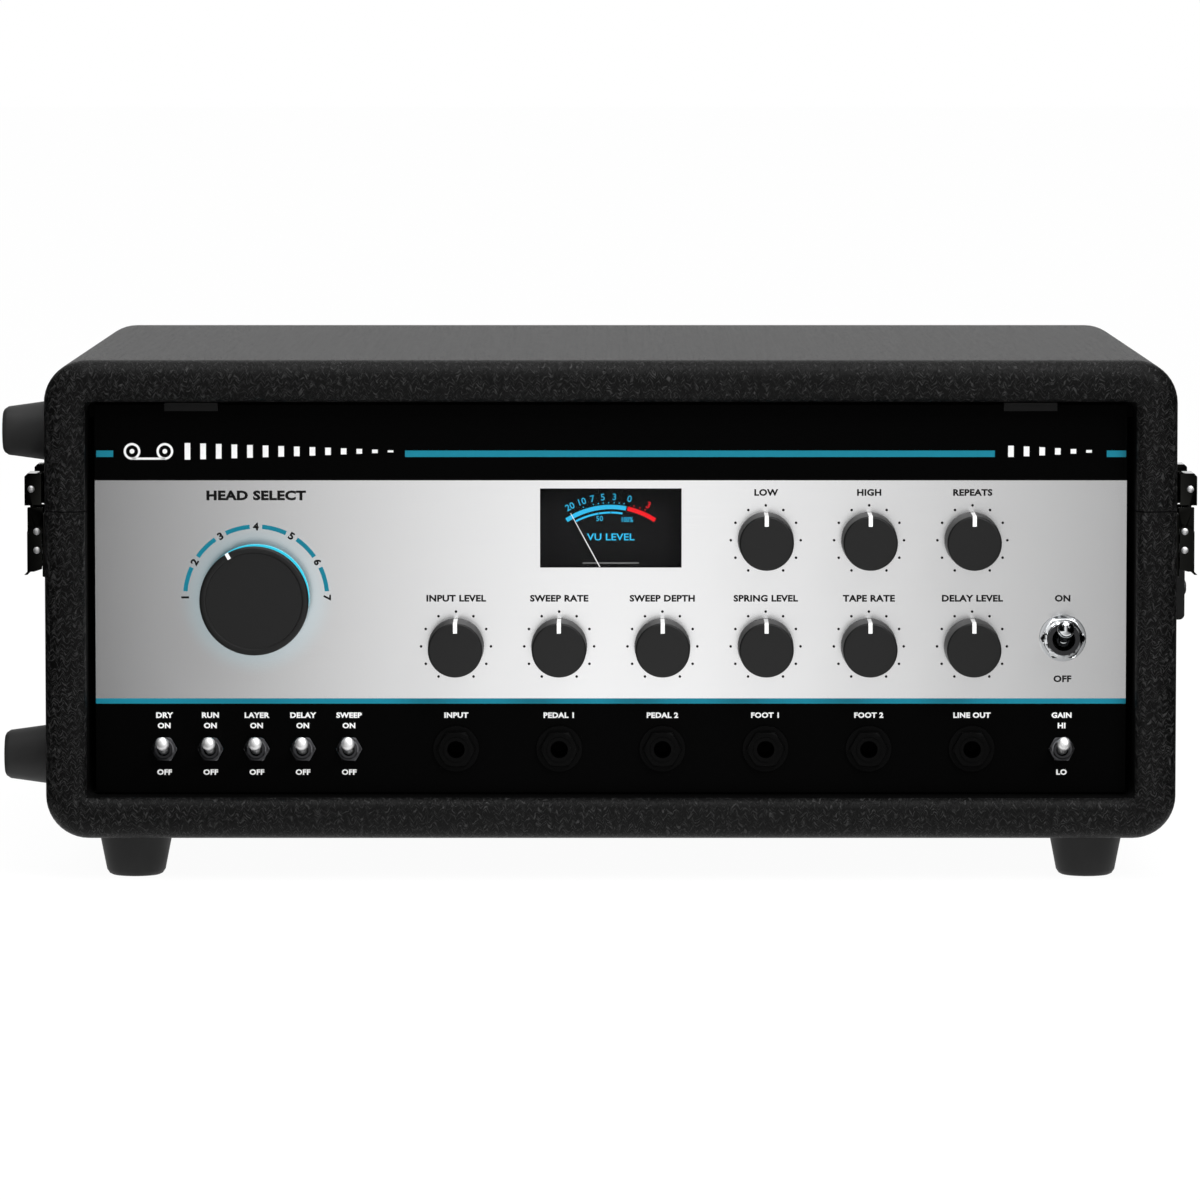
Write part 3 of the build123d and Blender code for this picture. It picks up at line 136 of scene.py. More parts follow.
def pick(piece, parts, test):
    """In edit mode, selects the faces, edges or verts that pass a test."""
    mesh = bmesh.from_edit_mesh(piece.data)
    for part in getattr(mesh, parts):
        part.select_set(bool(test(part)))
    bmesh.update_edit_mesh(piece.data)


def fresh(name):
    """Names the piece that was just added."""
    piece = bpy.context.object
    piece.name = piece.data.name = name
    return piece


def place(piece, matrix):
    """Moves a piece to its place and leaves its object at the origin."""
    bpy.context.view_layer.update()
    piece.matrix_world = matrix @ piece.matrix_world
    choose(piece)
    bpy.ops.object.transform_apply(location=True, rotation=True, scale=True)
    return piece


def modify(piece, kind, **settings):
    """Adds a modifier and applies it."""
    choose(piece)
    modifier = piece.modifiers.new(kind.title(), kind)
    for name, value in settings.items():
        setattr(modifier, name, value)
    bpy.ops.object.modifier_apply(modifier=modifier.name)
    return piece


def smooth(piece, limit=32):
    """Shades a piece smooth up to an angle and keeps its flats flat."""
    choose(piece)
    bpy.ops.object.shade_smooth_by_angle(angle=radians(limit))
    return modify(piece, "WEIGHTED_NORMAL", keep_sharp=True)


def soften(piece, width_mm, segments=2):
    """Rounds a piece's edges, then shades it."""
    modify(
        piece, "BEVEL", width=width_mm * MM, segments=segments, limit_method="ANGLE",
        angle_limit=radians(32),
    )
    return smooth(piece)


def joined(name, pieces):
    """Joins pieces into one."""
    choose(*pieces)
    if len(pieces) > 1:
        bpy.ops.object.join()
    return fresh(name)


def copied(piece, name, matrix=None):
    """Copy of a piece with its own mesh, moved by a matrix."""
    made = piece.copy()
    made.data = piece.data.copy()
    made.name = made.data.name = name
    bpy.context.scene.collection.objects.link(made)
    return place(made, matrix) if matrix else made


def dropped(*pieces):
    """Removes pieces that were only patterns or cutters."""
    for piece in pieces:
        bpy.data.objects.remove(piece)


def score(piece, point, normal):
    """Cuts a piece's faces along a plane; both sides stay."""
    with editing(piece, everything=True):
        bpy.ops.mesh.bisect(plane_co=point, plane_no=normal, threshold=1e-6)


def cast(part, name):
    """Copy of a solid part's surface, with its loose triangles merged."""
    made = bpy.data.objects.new(name, frame["nodes"][part].data.copy())
    made.data.name = name
    made.data.materials.clear()
    bpy.context.scene.collection.objects.link(made)
    with editing(made, "VERT", everything=True):
        bpy.ops.mesh.customdata_custom_splitnormals_clear()
        bpy.ops.mesh.remove_doubles(threshold=MM / 1000)
    return made


@contextmanager
def outlined(name, points, closed=False):
    """Edit mode on a new piece of edges through points in mm; an open one lacks its last edge."""
    bpy.ops.object.select_all(action="DESELECT")
    bpy.ops.mesh.primitive_circle_add(vertices=len(points), radius=MM, fill_type="NOTHING")
    piece = fresh(name)
    for vertex, point in zip(piece.data.vertices, points):
        vertex.co = Vector(point) * MM
    with editing(piece, "EDGE"):
        if not closed:
            ends = {0, len(points) - 1}
            pick(piece, "edges", lambda edge: {vertex.index for vertex in edge.verts} == ends)
            bpy.ops.mesh.delete(type="EDGE")
        bpy.ops.mesh.select_all(action="SELECT")
        yield piece


def spun(name, outline, sides=48, closed=False):
    """Piece turned about Z from points of (radius, height) in mm; an open outline ends on the axis."""
    with outlined(name, [(radius, 0, height) for radius, height in outline], closed) as piece:
        bpy.ops.mesh.spin(steps=sides, angle=2 * pi, center=(0, 0, 0), axis=(0, 0, 1))
        bpy.ops.mesh.select_all(action="SELECT")
        bpy.ops.mesh.remove_doubles(threshold=MM / 200)
        bpy.ops.mesh.normals_make_consistent(inside=False)
    return piece


def block(name, low, high):
    """Rectangular block between two corners in mm."""
    low, high = Vector(low) * MM, Vector(high) * MM
    bpy.ops.object.select_all(action="DESELECT")
    bpy.ops.mesh.primitive_cube_add(size=1, location=(low + high) / 2)
    piece = fresh(name)
    piece.scale = high - low
    return place(piece, Matrix.Identity(4))


def ribbon(name, outline, width, thickness):
    """Strip of sheet that follows points of (x, z) in mm, as wide as said along Y."""
    with outlined(name, [(x, -width / 2, z) for x, z in outline]) as piece:
        bpy.ops.mesh.extrude_region_move(TRANSFORM_OT_translate={"value": (0, width * MM, 0)})
        bpy.ops.mesh.select_all(action="SELECT")
        bpy.ops.mesh.normals_make_consistent(inside=False)
    return modify(piece, "SOLIDIFY", thickness=thickness * MM, offset=0.0)


def arc_band(name, radius, width, start, end, rise=0.05, steps=24):
    """Printed arc about Z, between two angles in degrees from X; all lengths in mm."""
    bpy.ops.object.select_all(action="DESELECT")
    bpy.ops.mesh.primitive_plane_add(size=1)
    piece = fresh(name)
    for vertex in piece.data.vertices:
        vertex.co = Vector((radius + vertex.co.x * width, 0, (vertex.co.y + 0.5) * rise)) * MM
    place(piece, turned("Z", start))
    with editing(piece, everything=True):
        bpy.ops.mesh.spin(steps=steps, angle=radians(start - end), center=(0, 0, 0), axis=(0, 0, 1))
        bpy.ops.mesh.select_all(action="SELECT")
        bpy.ops.mesh.remove_doubles(threshold=MM / 1000)
        bpy.ops.mesh.normals_make_consistent(inside=False)
    return piece


def hexagon(name, flats, thickness, bore):
    """Hexagon nut on Z with flats up and down, chamfered at both ends; lengths in mm."""
    bpy.ops.object.select_all(action="DESELECT")
    # The prism reaches past the blank: with their ends in one plane the cut sometimes lost faces.
    bpy.ops.mesh.primitive_cylinder_add(
        vertices=6, radius=flats / 2 / cos(pi / 6) * MM, depth=(thickness + 2) * MM,
        location=(0, 0, thickness / 2 * MM), rotation=(0, 0, pi / 2),
    )
    nut = place(fresh(name), Matrix.Identity(4))
    lip, round_off = flats / 2 * 0.97, flats * 0.07
    blank = spun("nut_blank", [
        (0, 0), (lip, 0), (lip + round_off * 1.7, round_off), (lip + round_off * 1.7, thickness - round_off),
        (lip, thickness), (0, thickness),
    ], 60)
    hole = spun("nut_hole", [(0, -1), (bore, -1), (bore, thickness + 1), (0, thickness + 1)], 40)
    modify(nut, "BOOLEAN", object=blank, operation="INTERSECT", solver="EXACT")
    modify(nut, "BOOLEAN", object=hole, operation="DIFFERENCE", solver="EXACT")
    dropped(blank, hole)
    return soften(nut, 0.12, 1)


def threaded(name, radius, bore, low, high, pitch=0.9, depth=0.22):
    """Threaded barrel on Z with an open bore, drawn as rings a pitch apart; lengths in mm."""
    turns = max(2, int((high - low - 0.6) / pitch))
    outline = [(bore, low), (radius - depth, low)]
    for turn in range(turns):
        outline += [
            (radius - depth, low + (turn + 0.05) * pitch), (radius, low + (turn + 0.4) * pitch),
            (radius, low + (turn + 0.6) * pitch), (radius - depth, low + (turn + 0.95) * pitch),
        ]
    outline += [(radius - depth, high - 0.3), (radius - depth - 0.3, high), (bore, high)]
    return smooth(spun(name, outline, 40, closed=True), 40)


def screw(name, radius, height):
    """Pan head screw on Z with a cross recess; lengths in mm."""
    head = spun(name, [
        (0, 0), (radius, 0), (radius, height * 0.3), (radius * 0.93, height * 0.62),
        (radius * 0.7, height * 0.88), (radius * 0.4, height * 0.98), (0, height),
    ], 32)
    reach, half = radius * 0.55, radius * 0.12
    for x, y in ((reach, half), (half, reach)):
        cutter = block("recess", (-x, -y, height * 0.4), (x, y, height * 2))
        modify(head, "BOOLEAN", object=cutter, operation="DIFFERENCE", solver="EXACT")
        dropped(cutter)
    return smooth(head)


def label(name, words, height, matrix, wide=1.12, bold=0.042):
    """Words with capitals of a height in mm, as a thin print that faces Z, centred on the placement."""
    bpy.ops.object.select_all(action="DESELECT")
    bpy.ops.object.text_add()
    text = fresh(name)
    text.data.body = words
    text.data.align_x = "CENTER"
    text.data.resolution_u = 3
    text.data.offset = bold
    text.data.space_character = 1 + 1.5 * bold
    text.data.extrude = INK / 2
    bpy.ops.object.convert(target="MESH")
    piece = fresh(name)
    corners = [Vector(corner) for corner in piece.bound_box]
    low, high = min(c.y for c in corners), max(c.y for c in corners)
    scale = height * MM / (high - low)
    shrink = Matrix.Diagonal((scale * wide, scale, MM, 1))
    return place(piece, matrix @ shrink @ Matrix.Translation((0, -(low + high) / 2, INK / 2)))


def settle(piece, material, body, slot, *parts):
    """Gives a finished piece its material and body, and hides the solid parts that it stands for. Its slot is
    not used.
    """
    if material:
        piece.data.materials.clear()
        piece.data.materials.append(material)
    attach(piece, body)
    if parts:
        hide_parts(*parts)
    return piece


# ---------------------------------------------------------------- material helpers
def linear(code):
    """Linear colour from an sRGB hex value."""
    shares = [int(code[start:start + 2], 16) / 255 for start in (0, 2, 4)]
    return (*[s / 12.92 if s <= 0.04045 else ((s + 0.055) / 1.055) ** 2.4 for s in shares], 1.0)


def shade(colour, share):
    """A colour made darker or lighter by a share."""
    return (*[min(1.0, channel * share) for channel in colour[:3]], 1.0)


def node(tree, kind, inputs=None, to=None, **settings):
    """Adds a shader node. Inputs given as sockets are linked and others set; its output goes to a socket."""
    made = tree.nodes.new(kind)
    for name, value in settings.items():
        setattr(made, name, value)
    for name, value in (inputs or {}).items():
        if isinstance(name, int):
            socket = made.inputs[name]
        else:
            socket = next(entry for entry in made.inputs if entry.enabled and entry.name == name)
        if isinstance(value, bpy.types.NodeSocket):
            tree.links.new(value, socket)
        else:
            socket.default_value = value
    if to:
        tree.links.new(next(entry for entry in made.outputs if entry.enabled), to)
    return made


def maths(tree, operation, *values):
    """Value that a maths node gives for others."""
    return node(tree, "ShaderNodeMath", dict(enumerate(values)), operation=operation).outputs[0]


def noise(tree, spot, grain, detail):
    """Uneven value with a grain in mm."""
    return node(tree, "ShaderNodeTexNoise", {
        "Vector": spot, "Scale": 1 / (grain * MM), "Detail": detail,
    }).outputs["Fac"]


def entry(tree, name):
    """Input of a material's Principled BSDF."""
    return tree.nodes["Principled BSDF"].inputs[name]


def tint(tree, share, low, high):
    """Base colour that runs from one colour to another with a value."""
    node(
        tree, "ShaderNodeMix", {"Factor": share, "A": low, "B": high}, entry(tree, "Base Color"),
        data_type="RGBA",
    )


def haze(tree, share, low, high):
    """Roughness that runs from one level to another with a value."""
    node(tree, "ShaderNodeMapRange", {
        "Value": share, "To Min": low, "To Max": high,
    }, entry(tree, "Roughness"))


def relief(tree, height, depth):
    """Bumps of a depth in mm."""
    node(tree, "ShaderNodeBump", {"Height": height, "Distance": depth * MM}, entry(tree, "Normal"))


def blank(name, **sockets):
    """New material with its Principled BSDF set by socket name; gives it, its tree and coordinates."""
    made = bpy.data.materials.new(name)
    made.use_nodes = True
    tree = made.node_tree
    for socket, value in sockets.items():
        entry(tree, socket.replace("_", " ")).default_value = value
    return made, tree, node(tree, "ShaderNodeTexCoord").outputs["Object"]


# ---------------------------------------------------------------- materials
def embossed_vinyl(name):
    """PVC coated cloth: black, rolled with short uneven strokes in zigzag that glint at their ridges, from
    their bumps and from a painted highlight that makes them lighter.

    Each face of the case has the strokes on its own plane. The zigzags are 3.2 mm wide.
    """
    half_width, slant, wander, faces_axis = 1.6 * MM, 1.3, 3 * MM, 0.707
    made, tree, spot = blank(name, Roughness=0.45, Specular_IOR_Level=0.13)
    facing = node(tree, "ShaderNodeSeparateXYZ", {
        "Vector": tree.nodes["Texture Coordinate"].outputs["Normal"],
    })
    drift = node(tree, "ShaderNodeTexNoise", {"Vector": spot, "Scale": 1 / wander, "Detail": 3.0})
    bent = node(tree, "ShaderNodeVectorMath", {
        0: drift.outputs["Color"], 1: (wander, wander, wander), 2: spot,
    }, operation="MULTIPLY_ADD")
    at = node(tree, "ShaderNodeSeparateXYZ", {"Vector": bent.outputs["Vector"]})
    runs = []
    for axis in ("X", "Z"):
        away = maths(tree, "ABSOLUTE", facing.outputs[axis])
        run = node(tree, "ShaderNodeMix", {
            "Factor": maths(tree, "GREATER_THAN", away, faces_axis),
            "A": at.outputs[axis], "B": at.outputs["Y"],
        })
        runs.append(run.outputs["Result"])
    zigzag = maths(tree, "PINGPONG", runs[0], half_width)
    slope = maths(tree, "MULTIPLY_ADD", zigzag, slant, runs[1])
    along = node(tree, "ShaderNodeCombineXYZ", {"X": runs[0], "Y": slope})
    stretched = node(tree, "ShaderNodeVectorMath", {
        0: along.outputs["Vector"], 1: (0.5 / MM, 1.8 / MM, 1),
    }, operation="MULTIPLY")
    strokes = node(tree, "ShaderNodeTexNoise", {
        "Vector": stretched.outputs["Vector"], "Scale": 1.0, "Detail": 1.0,
    })
    ridge_and_painted_glint = node(tree, "ShaderNodeMapRange", {
        "Value": strokes.outputs["Fac"], "From Min": 0.5, "From Max": 0.66,
    }, interpolation_type="SMOOTHSTEP").outputs["Result"]
    relief(tree, ridge_and_painted_glint, 0.5)
    # The ridges are painted lighter than the cloth between them: a painted highlight.
    tint(tree, ridge_and_painted_glint, linear("080808"), linear("353535"))
    return made


def brushed_aluminium(name):
    """Clear anodised sheet, brushed along its length: a soft bright band stands across the grain.

    Round the large knob the sheet has a painted glow in the ring's colour, dying away with distance, that
    stands for the ring's light on it.
    """
    knob, ring, painted_glow_reach = pivot("mode_knob"), 20 * MM, 11 * MM
    made, tree, spot = blank(name, Metallic=0.96, Roughness=0.19, Emission_Color=(*tone("glow")[:3], 1.0))
    # Brush lines are a third of a millimetre apart and some 20 mm long.
    along = node(tree, "ShaderNodeMapping", {"Vector": spot, "Scale": (1 / 60, 1.0, 1.0)})
    tint(tree, noise(tree, along.outputs["Vector"], 0.35, 2.0), linear("EBEBEC"), linear("EFEFEF"))
    # Painted glow: the sheet itself emits near the knob, less with distance, in place of the ring's light.
    centre = node(tree, "ShaderNodeVectorMath", {
        0: spot, 1: (knob.x, PANEL_FRONT, knob.z),
    }, operation="DISTANCE")
    painted_glow_falloff = node(tree, "ShaderNodeMapRange", {
        "Value": centre.outputs["Value"], "From Min": ring, "From Max": ring + painted_glow_reach,
        "To Min": 1.0, "To Max": 0.0,
    }, interpolation_type="SMOOTHERSTEP")
    tree.links.new(maths(tree, "MULTIPLY", painted_glow_falloff.outputs["Result"], 0.11), entry(tree, "Emission Strength"))
    return made


def enamel(name, code, roughness=0.4, specular=0.15):
    """Screen printed stoving enamel: even colour with a faint orange peel."""
    made, tree, spot = blank(name, Roughness=roughness, Specular_IOR_Level=specular)
    peel = noise(tree, spot, 0.8, 2.0)
    tint(tree, peel, shade(tone(code), 0.94), shade(tone(code), 1.06))
    relief(tree, peel, 0.01)
    return made


def moulded_plastic(name, code, roughness=0.42, specular=0.3):
    """Injection moulded ABS from a spark eroded tool: satin, with a fine even grit."""
    made, tree, spot = blank(name, Specular_IOR_Level=specular)
    pits = noise(tree, spot, 0.35, 3.0)
    tint(tree, pits, shade(tone(code), 0.85), shade(tone(code), 1.15))
    haze(tree, pits, roughness - 0.04, roughness + 0.06)
    relief(tree, pits, 0.012)
    return made


def plated_metal(name, code, roughness=0.07, clouding=0.06):
    """Nickel or chromium plate over brass: mirror bright, clouded a little by handling."""
    made, tree, spot = blank(name, Metallic=1.0)
    clouds = noise(tree, spot, 3, 3.0)
    tint(tree, clouds, shade(tone(code), 0.93), shade(tone(code), 1.05))
    haze(tree, clouds, roughness, roughness + clouding)
    return made


def sheet_metal(name, code):
    """Zinc plated steel sheet: grey, with soft crystals of uneven gloss."""
    made, tree, spot = blank(name, Metallic=1.0)
    crystals = node(tree, "ShaderNodeTexVoronoi", {"Vector": spot, "Scale": 1 / (5 * MM)}).outputs["Distance"]
    tint(tree, crystals, shade(tone(code), 0.85), shade(tone(code), 1.1))
    haze(tree, crystals, 0.28, 0.48)
    return made


def machined_metal(name, code):
    """Ground or turned metal: fine tool marks across the axis that it was turned on."""
    made, tree, spot = blank(name, Metallic=1.0, Roughness=0.22, Base_Color=linear(code))
    marks = node(tree, "ShaderNodeTexWave", {
        "Vector": spot, "Scale": 1 / (0.25 * MM) / 20, "Distortion": 1.5, "Detail": 2.0,
    }, bands_direction="Z").outputs["Fac"]
    tint(tree, marks, shade(tone(code), 0.9), shade(tone(code), 1.06))
    relief(tree, marks, 0.01)
    return made


def moulded_rubber(name, code, roughness=0.55):
    """Vulcanised rubber: dull and dark, with a bloom that lightens it in patches."""
    made, tree, spot = blank(name, Specular_IOR_Level=0.3)
    bloom = noise(tree, spot, 7, 4.0)
    tint(tree, bloom, shade(tone(code), 0.8), shade(tone(code), 1.2))
    haze(tree, bloom, roughness - 0.05, roughness + 0.1)
    relief(tree, noise(tree, spot, 0.4, 2.0), 0.015)
    return made


def lit_acrylic(name):
    """Edge lit frosted acrylic: an even cyan glow, a little uneven where the lamps stand."""
    glow = (*tone("glow")[:3], 1.0)
    made, tree, spot = blank(name, Base_Color=glow, Roughness=0.3, Emission_Color=glow)
    node(tree, "ShaderNodeMapRange", {
        "Value": noise(tree, spot, 14, 1.0), "To Min": 0.2, "To Max": 0.36,
    }, entry(tree, "Emission Strength"))
    return made


def clear_acrylic(name, code, alpha):
    """Cast acrylic sheet: almost invisible, with a thin sheen and faint handling haze."""
    made, tree, spot = blank(name, Base_Color=linear(code), Alpha=alpha, IOR=1.49)
    haze(tree, noise(tree, spot, 9, 3.0), 0.03, 0.08)
    return made


def printed_card(name, code, glow=0.0):
    """Matt ink on the meter's card, with the card's tooth and a faint painted glow in its own colour."""
    made, tree, spot = blank(
        name, Roughness=0.7, Specular_IOR_Level=0.1, Emission_Strength=glow,
        Emission_Color=(*tone(code)[:3], 1.0),
    )
    tint(tree, noise(tree, spot, 0.25, 2.0), shade(tone(code), 0.93), shade(tone(code), 1.07))
    return made


def leatherette(name):
    """Stitched leatherette of the handle: fine creases and a low sheen."""
    made, tree, spot = blank(name, Roughness=0.48, Specular_IOR_Level=0.4)
    creases = node(tree, "ShaderNodeTexVoronoi", {
        "Vector": spot, "Scale": 1 / (1.1 * MM),
    }, feature="DISTANCE_TO_EDGE").outputs["Distance"]
    relief(tree, creases, 0.12)
    node(tree, "ShaderNodeMapRange", {
        "Value": creases, "From Max": 0.3, "To Min": 0.62, "To Max": 0.42,
    }, entry(tree, "Roughness"))
    # The creases are painted darker than the grain between them: painted shade.
    tint(tree, creases, linear("0C0C0D"), linear("232324"))
    return made


def twisted_thread(name):
    """Waxed polyester thread: black, with the twist of its strands showing as fine bands."""
    made, tree, spot = blank(name, Roughness=0.5)
    twist = node(tree, "ShaderNodeTexWave", {
        "Vector": spot, "Scale": 0.1 / MM, "Distortion": 1.0,
    }, bands_direction="DIAGONAL")
    tint(tree, twist.outputs["Fac"], linear("141414"), linear("3A3A3A"))
    return made


def circuit_board(name):
    """Glass fibre board under green solder mask, with the copper tracks just showing."""
    made, tree, spot = blank(name, Roughness=0.3)
    tracks = node(tree, "ShaderNodeTexBrick", {
        "Vector": spot, "Scale": 1 / (9 * MM), "Mortar Size": 0.05, "Color1": linear("0D4A2C"),
        "Color2": linear("0F5230"), "Mortar": linear("1C7A47"),
    }, entry(tree, "Base Color"))
    relief(tree, tracks.outputs["Fac"], 0.03)
    return made


def laminated_steel(name):
    """Stack of varnished silicon steel sheets, edge on: fine grey lines one above another."""
    made, tree, spot = blank(name, Metallic=0.9, Roughness=0.5)
    layers = node(tree, "ShaderNodeTexWave", {
        "Vector": spot, "Scale": 0.1 / MM,
    }, bands_direction="Z").outputs["Fac"]
    tint(tree, layers, linear("3C3A38"), linear("76726C"))
    relief(tree, layers, 0.05)
    return made


def oxide_tape(name):
    """Iron oxide on polyester film: brown and even, with a dull shine along its run."""
    made, tree, spot = blank(name, Roughness=0.32, Specular_IOR_Level=0.6)
    level = node(tree, "ShaderNodeMapping", {"Vector": spot, "Scale": (0.05, 0.05, 1.0)})
    tint(tree, noise(tree, level.outputs["Vector"], 0.6, 2.0), linear("281A12"), linear("402B1F"))
    return made


# ---------------------------------------------------------------- what a user would change
class EchoSizes(bpy.types.PropertyGroup):
    """Sizes of the finish and its details."""

    stripe: FloatProperty(
        name="Stripe", description="Height of the printed stripe above the metal band",
        default=2.4 * MM, unit="LENGTH", min=0.5 * MM,
    )
    line: FloatProperty(
        name="Line", description="Height of the printed line below the metal band",
        default=2.0 * MM, unit="LENGTH", min=0.5 * MM,
    )
    lettering: FloatProperty(
        name="Lettering", description="Height of the small capitals on the panel",
        default=2.55 * MM, unit="LENGTH", min=1 * MM,
    )
    pointer: FloatProperty(
        name="Pointer", description="Width of the line on each knob",
        default=1.5 * MM, unit="LENGTH", min=0.4 * MM,
    )
    edge: FloatProperty(
        name="Edge", description="Rounding of the metal and plastic edges",
        default=0.3 * MM, unit="LENGTH", min=0.05 * MM,
    )


class EchoColours(bpy.types.PropertyGroup):
    """Colours of the finish."""

    stripe: FloatVectorProperty(
        name="Stripe", description="Ink of the stripes, arcs and panel details",
        default=linear("0F7D93")[:3], size=3, subtype="COLOR", min=0, max=1,
    )
    glow: FloatVectorProperty(
        name="Glow", description="Light of the ring behind the large knob",
        default=linear("2FC4DE")[:3], size=3, subtype="COLOR", min=0, max=1,
    )
    scale: FloatVectorProperty(
        name="Scale", description="Ink of the meter's scale",
        default=linear("33BDEB")[:3], size=3, subtype="COLOR", min=0, max=1,
    )
    overload: FloatVectorProperty(
        name="Overload", description="Ink of the meter's top range",
        default=linear("ED1C24")[:3], size=3, subtype="COLOR", min=0, max=1,
    )


def size(name):
    """A size that a user may change, in mm."""
    return getattr(bpy.context.scene.echo_sizes, name) / MM


def tone(code):
    """Colour of an sRGB hex value, or one that a user may change, by its name."""
    if code in EchoColours.__annotations__:
        return tuple(getattr(bpy.context.scene.echo_colours, code))
    return linear(code)


def pivot(body):
    """Point that a moving body turns about."""
    return Vector(next(joint["pos_m"] for joint in frame["joints"] if joint["child"] == body))


# Each finish: how it is made, then its colour, roughness and what else that takes.
FINISHES = {
    "embossed_vinyl": (embossed_vinyl,),
    "brushed_aluminium": (brushed_aluminium,),
    "black_enamel": (enamel, "030303", 0.4, 0.02),
    "rear_enamel": (enamel, "101010", 0.45, 0.35),
    "clip_steel": (enamel, "121212", 0.4, 0.2),
    # Near-black for the case's inner walls and the strips in the gaps round the panel: painted shade.
    "black_lining": (enamel, "060606", 0.8, 0.05),
    "stripe_enamel": (enamel, "stripe"),
    "black_ink": (enamel, "0A0A0A", 0.5),
    "white_ink": (enamel, "F0F0F0", 0.5),
    "knob_abs": (moulded_plastic, "161616", 0.42),
    "pointer_paint": (enamel, "F4F4F4", 0.35),
    "socket_nylon": (moulded_plastic, "060606", 0.45, 0.04),
    "fitting_nylon": (moulded_plastic, "161616", 0.45),
    "bright_chrome": (plated_metal, "D6D8DA", 0.06),
    "bat_chrome": (plated_metal, "FAFAFA", 0.5),
    "black_nickel": (plated_metal, "262624", 0.1, 0.08),
    "dark_chrome": (plated_metal, "444446", 0.2),
    "zinc_steel": (sheet_metal, "A9ACAD"),
    "deck_enamel": (enamel, "2B2D2E", 0.5, 0.3),
    "ground_steel": (machined_metal, "C9CACB"),
    "turned_brass": (machined_metal, "B9974F"),
    "foot_rubber": (moulded_rubber, "1A1A1A"),
    # The side feet's rubber is a lighter copy of the bottom feet's: painted light.
    "side_foot_rubber": (moulded_rubber, "282828"),
    "roller_rubber": (moulded_rubber, "151515", 0.5),
    "belt_rubber": (moulded_rubber, "111111", 0.6),
    "lit_acrylic": (lit_acrylic,),
    "clear_acrylic": (clear_acrylic, "0A0A0A", 0.05),
    "smoked_acrylic": (clear_acrylic, "4A4640", 0.35),
    "dial_card": (printed_card, "121213"),
    # The meter's inks and needle take a faint painted glow in their own colours.
    "scale_ink": (printed_card, "scale", 0.25),
    "overload_ink": (printed_card, "overload", 0.25),
    "pale_ink": (printed_card, "8C8C8C", 0.1),
    "needle_paint": (printed_card, "F2F2F2", 0.25),
    "leatherette": (leatherette,),
    "twisted_thread": (twisted_thread,),
    "solder_masked_board": (circuit_board,),
    "laminated_steel": (laminated_steel,),
    "oxide_tape": (oxide_tape,),
    "tank_abs": (moulded_plastic, "2C2C2E", 0.4),
}


def finish(name):
    """The material of a name, made when it is first asked for."""
    kind, *values = FINISHES[name]
    return bpy.data.materials.get(name) or kind(name, *values)


def dress(part, name, material, body, slot, edge=None):
    """Piece with a solid part's shape, rounded edges and its own finish, which stands for the part."""
    piece = cast(part, name)
    if edge:
        soften(piece, edge)
    else:
        smooth(piece)
    return settle(piece, finish(material), body, slot, part)


def without_nuts(part, name, material, slot):
    """Piece with a solid part's shape less the nuts and washers that lie before the panel."""
    piece = cast(part, name)
    with editing(piece, "VERT"):
        mesh = bmesh.from_edit_mesh(piece.data)
        left = set(mesh.verts)
        while left:
            island, edge = set(), {left.pop()}
            while edge:
                island |= edge
                edge = {end.other_vert(vert) for vert in edge for end in vert.link_edges} - island
            left -= island
            if max(vert.co.y for vert in island) < PANEL_FRONT + 0.1 * MM:
                for vert in island:
                    vert.select_set(True)
        bmesh.update_edit_mesh(piece.data)
        bpy.ops.mesh.delete(type="VERT")
    smooth(piece)
    return settle(piece, finish(material), "case", slot, part)


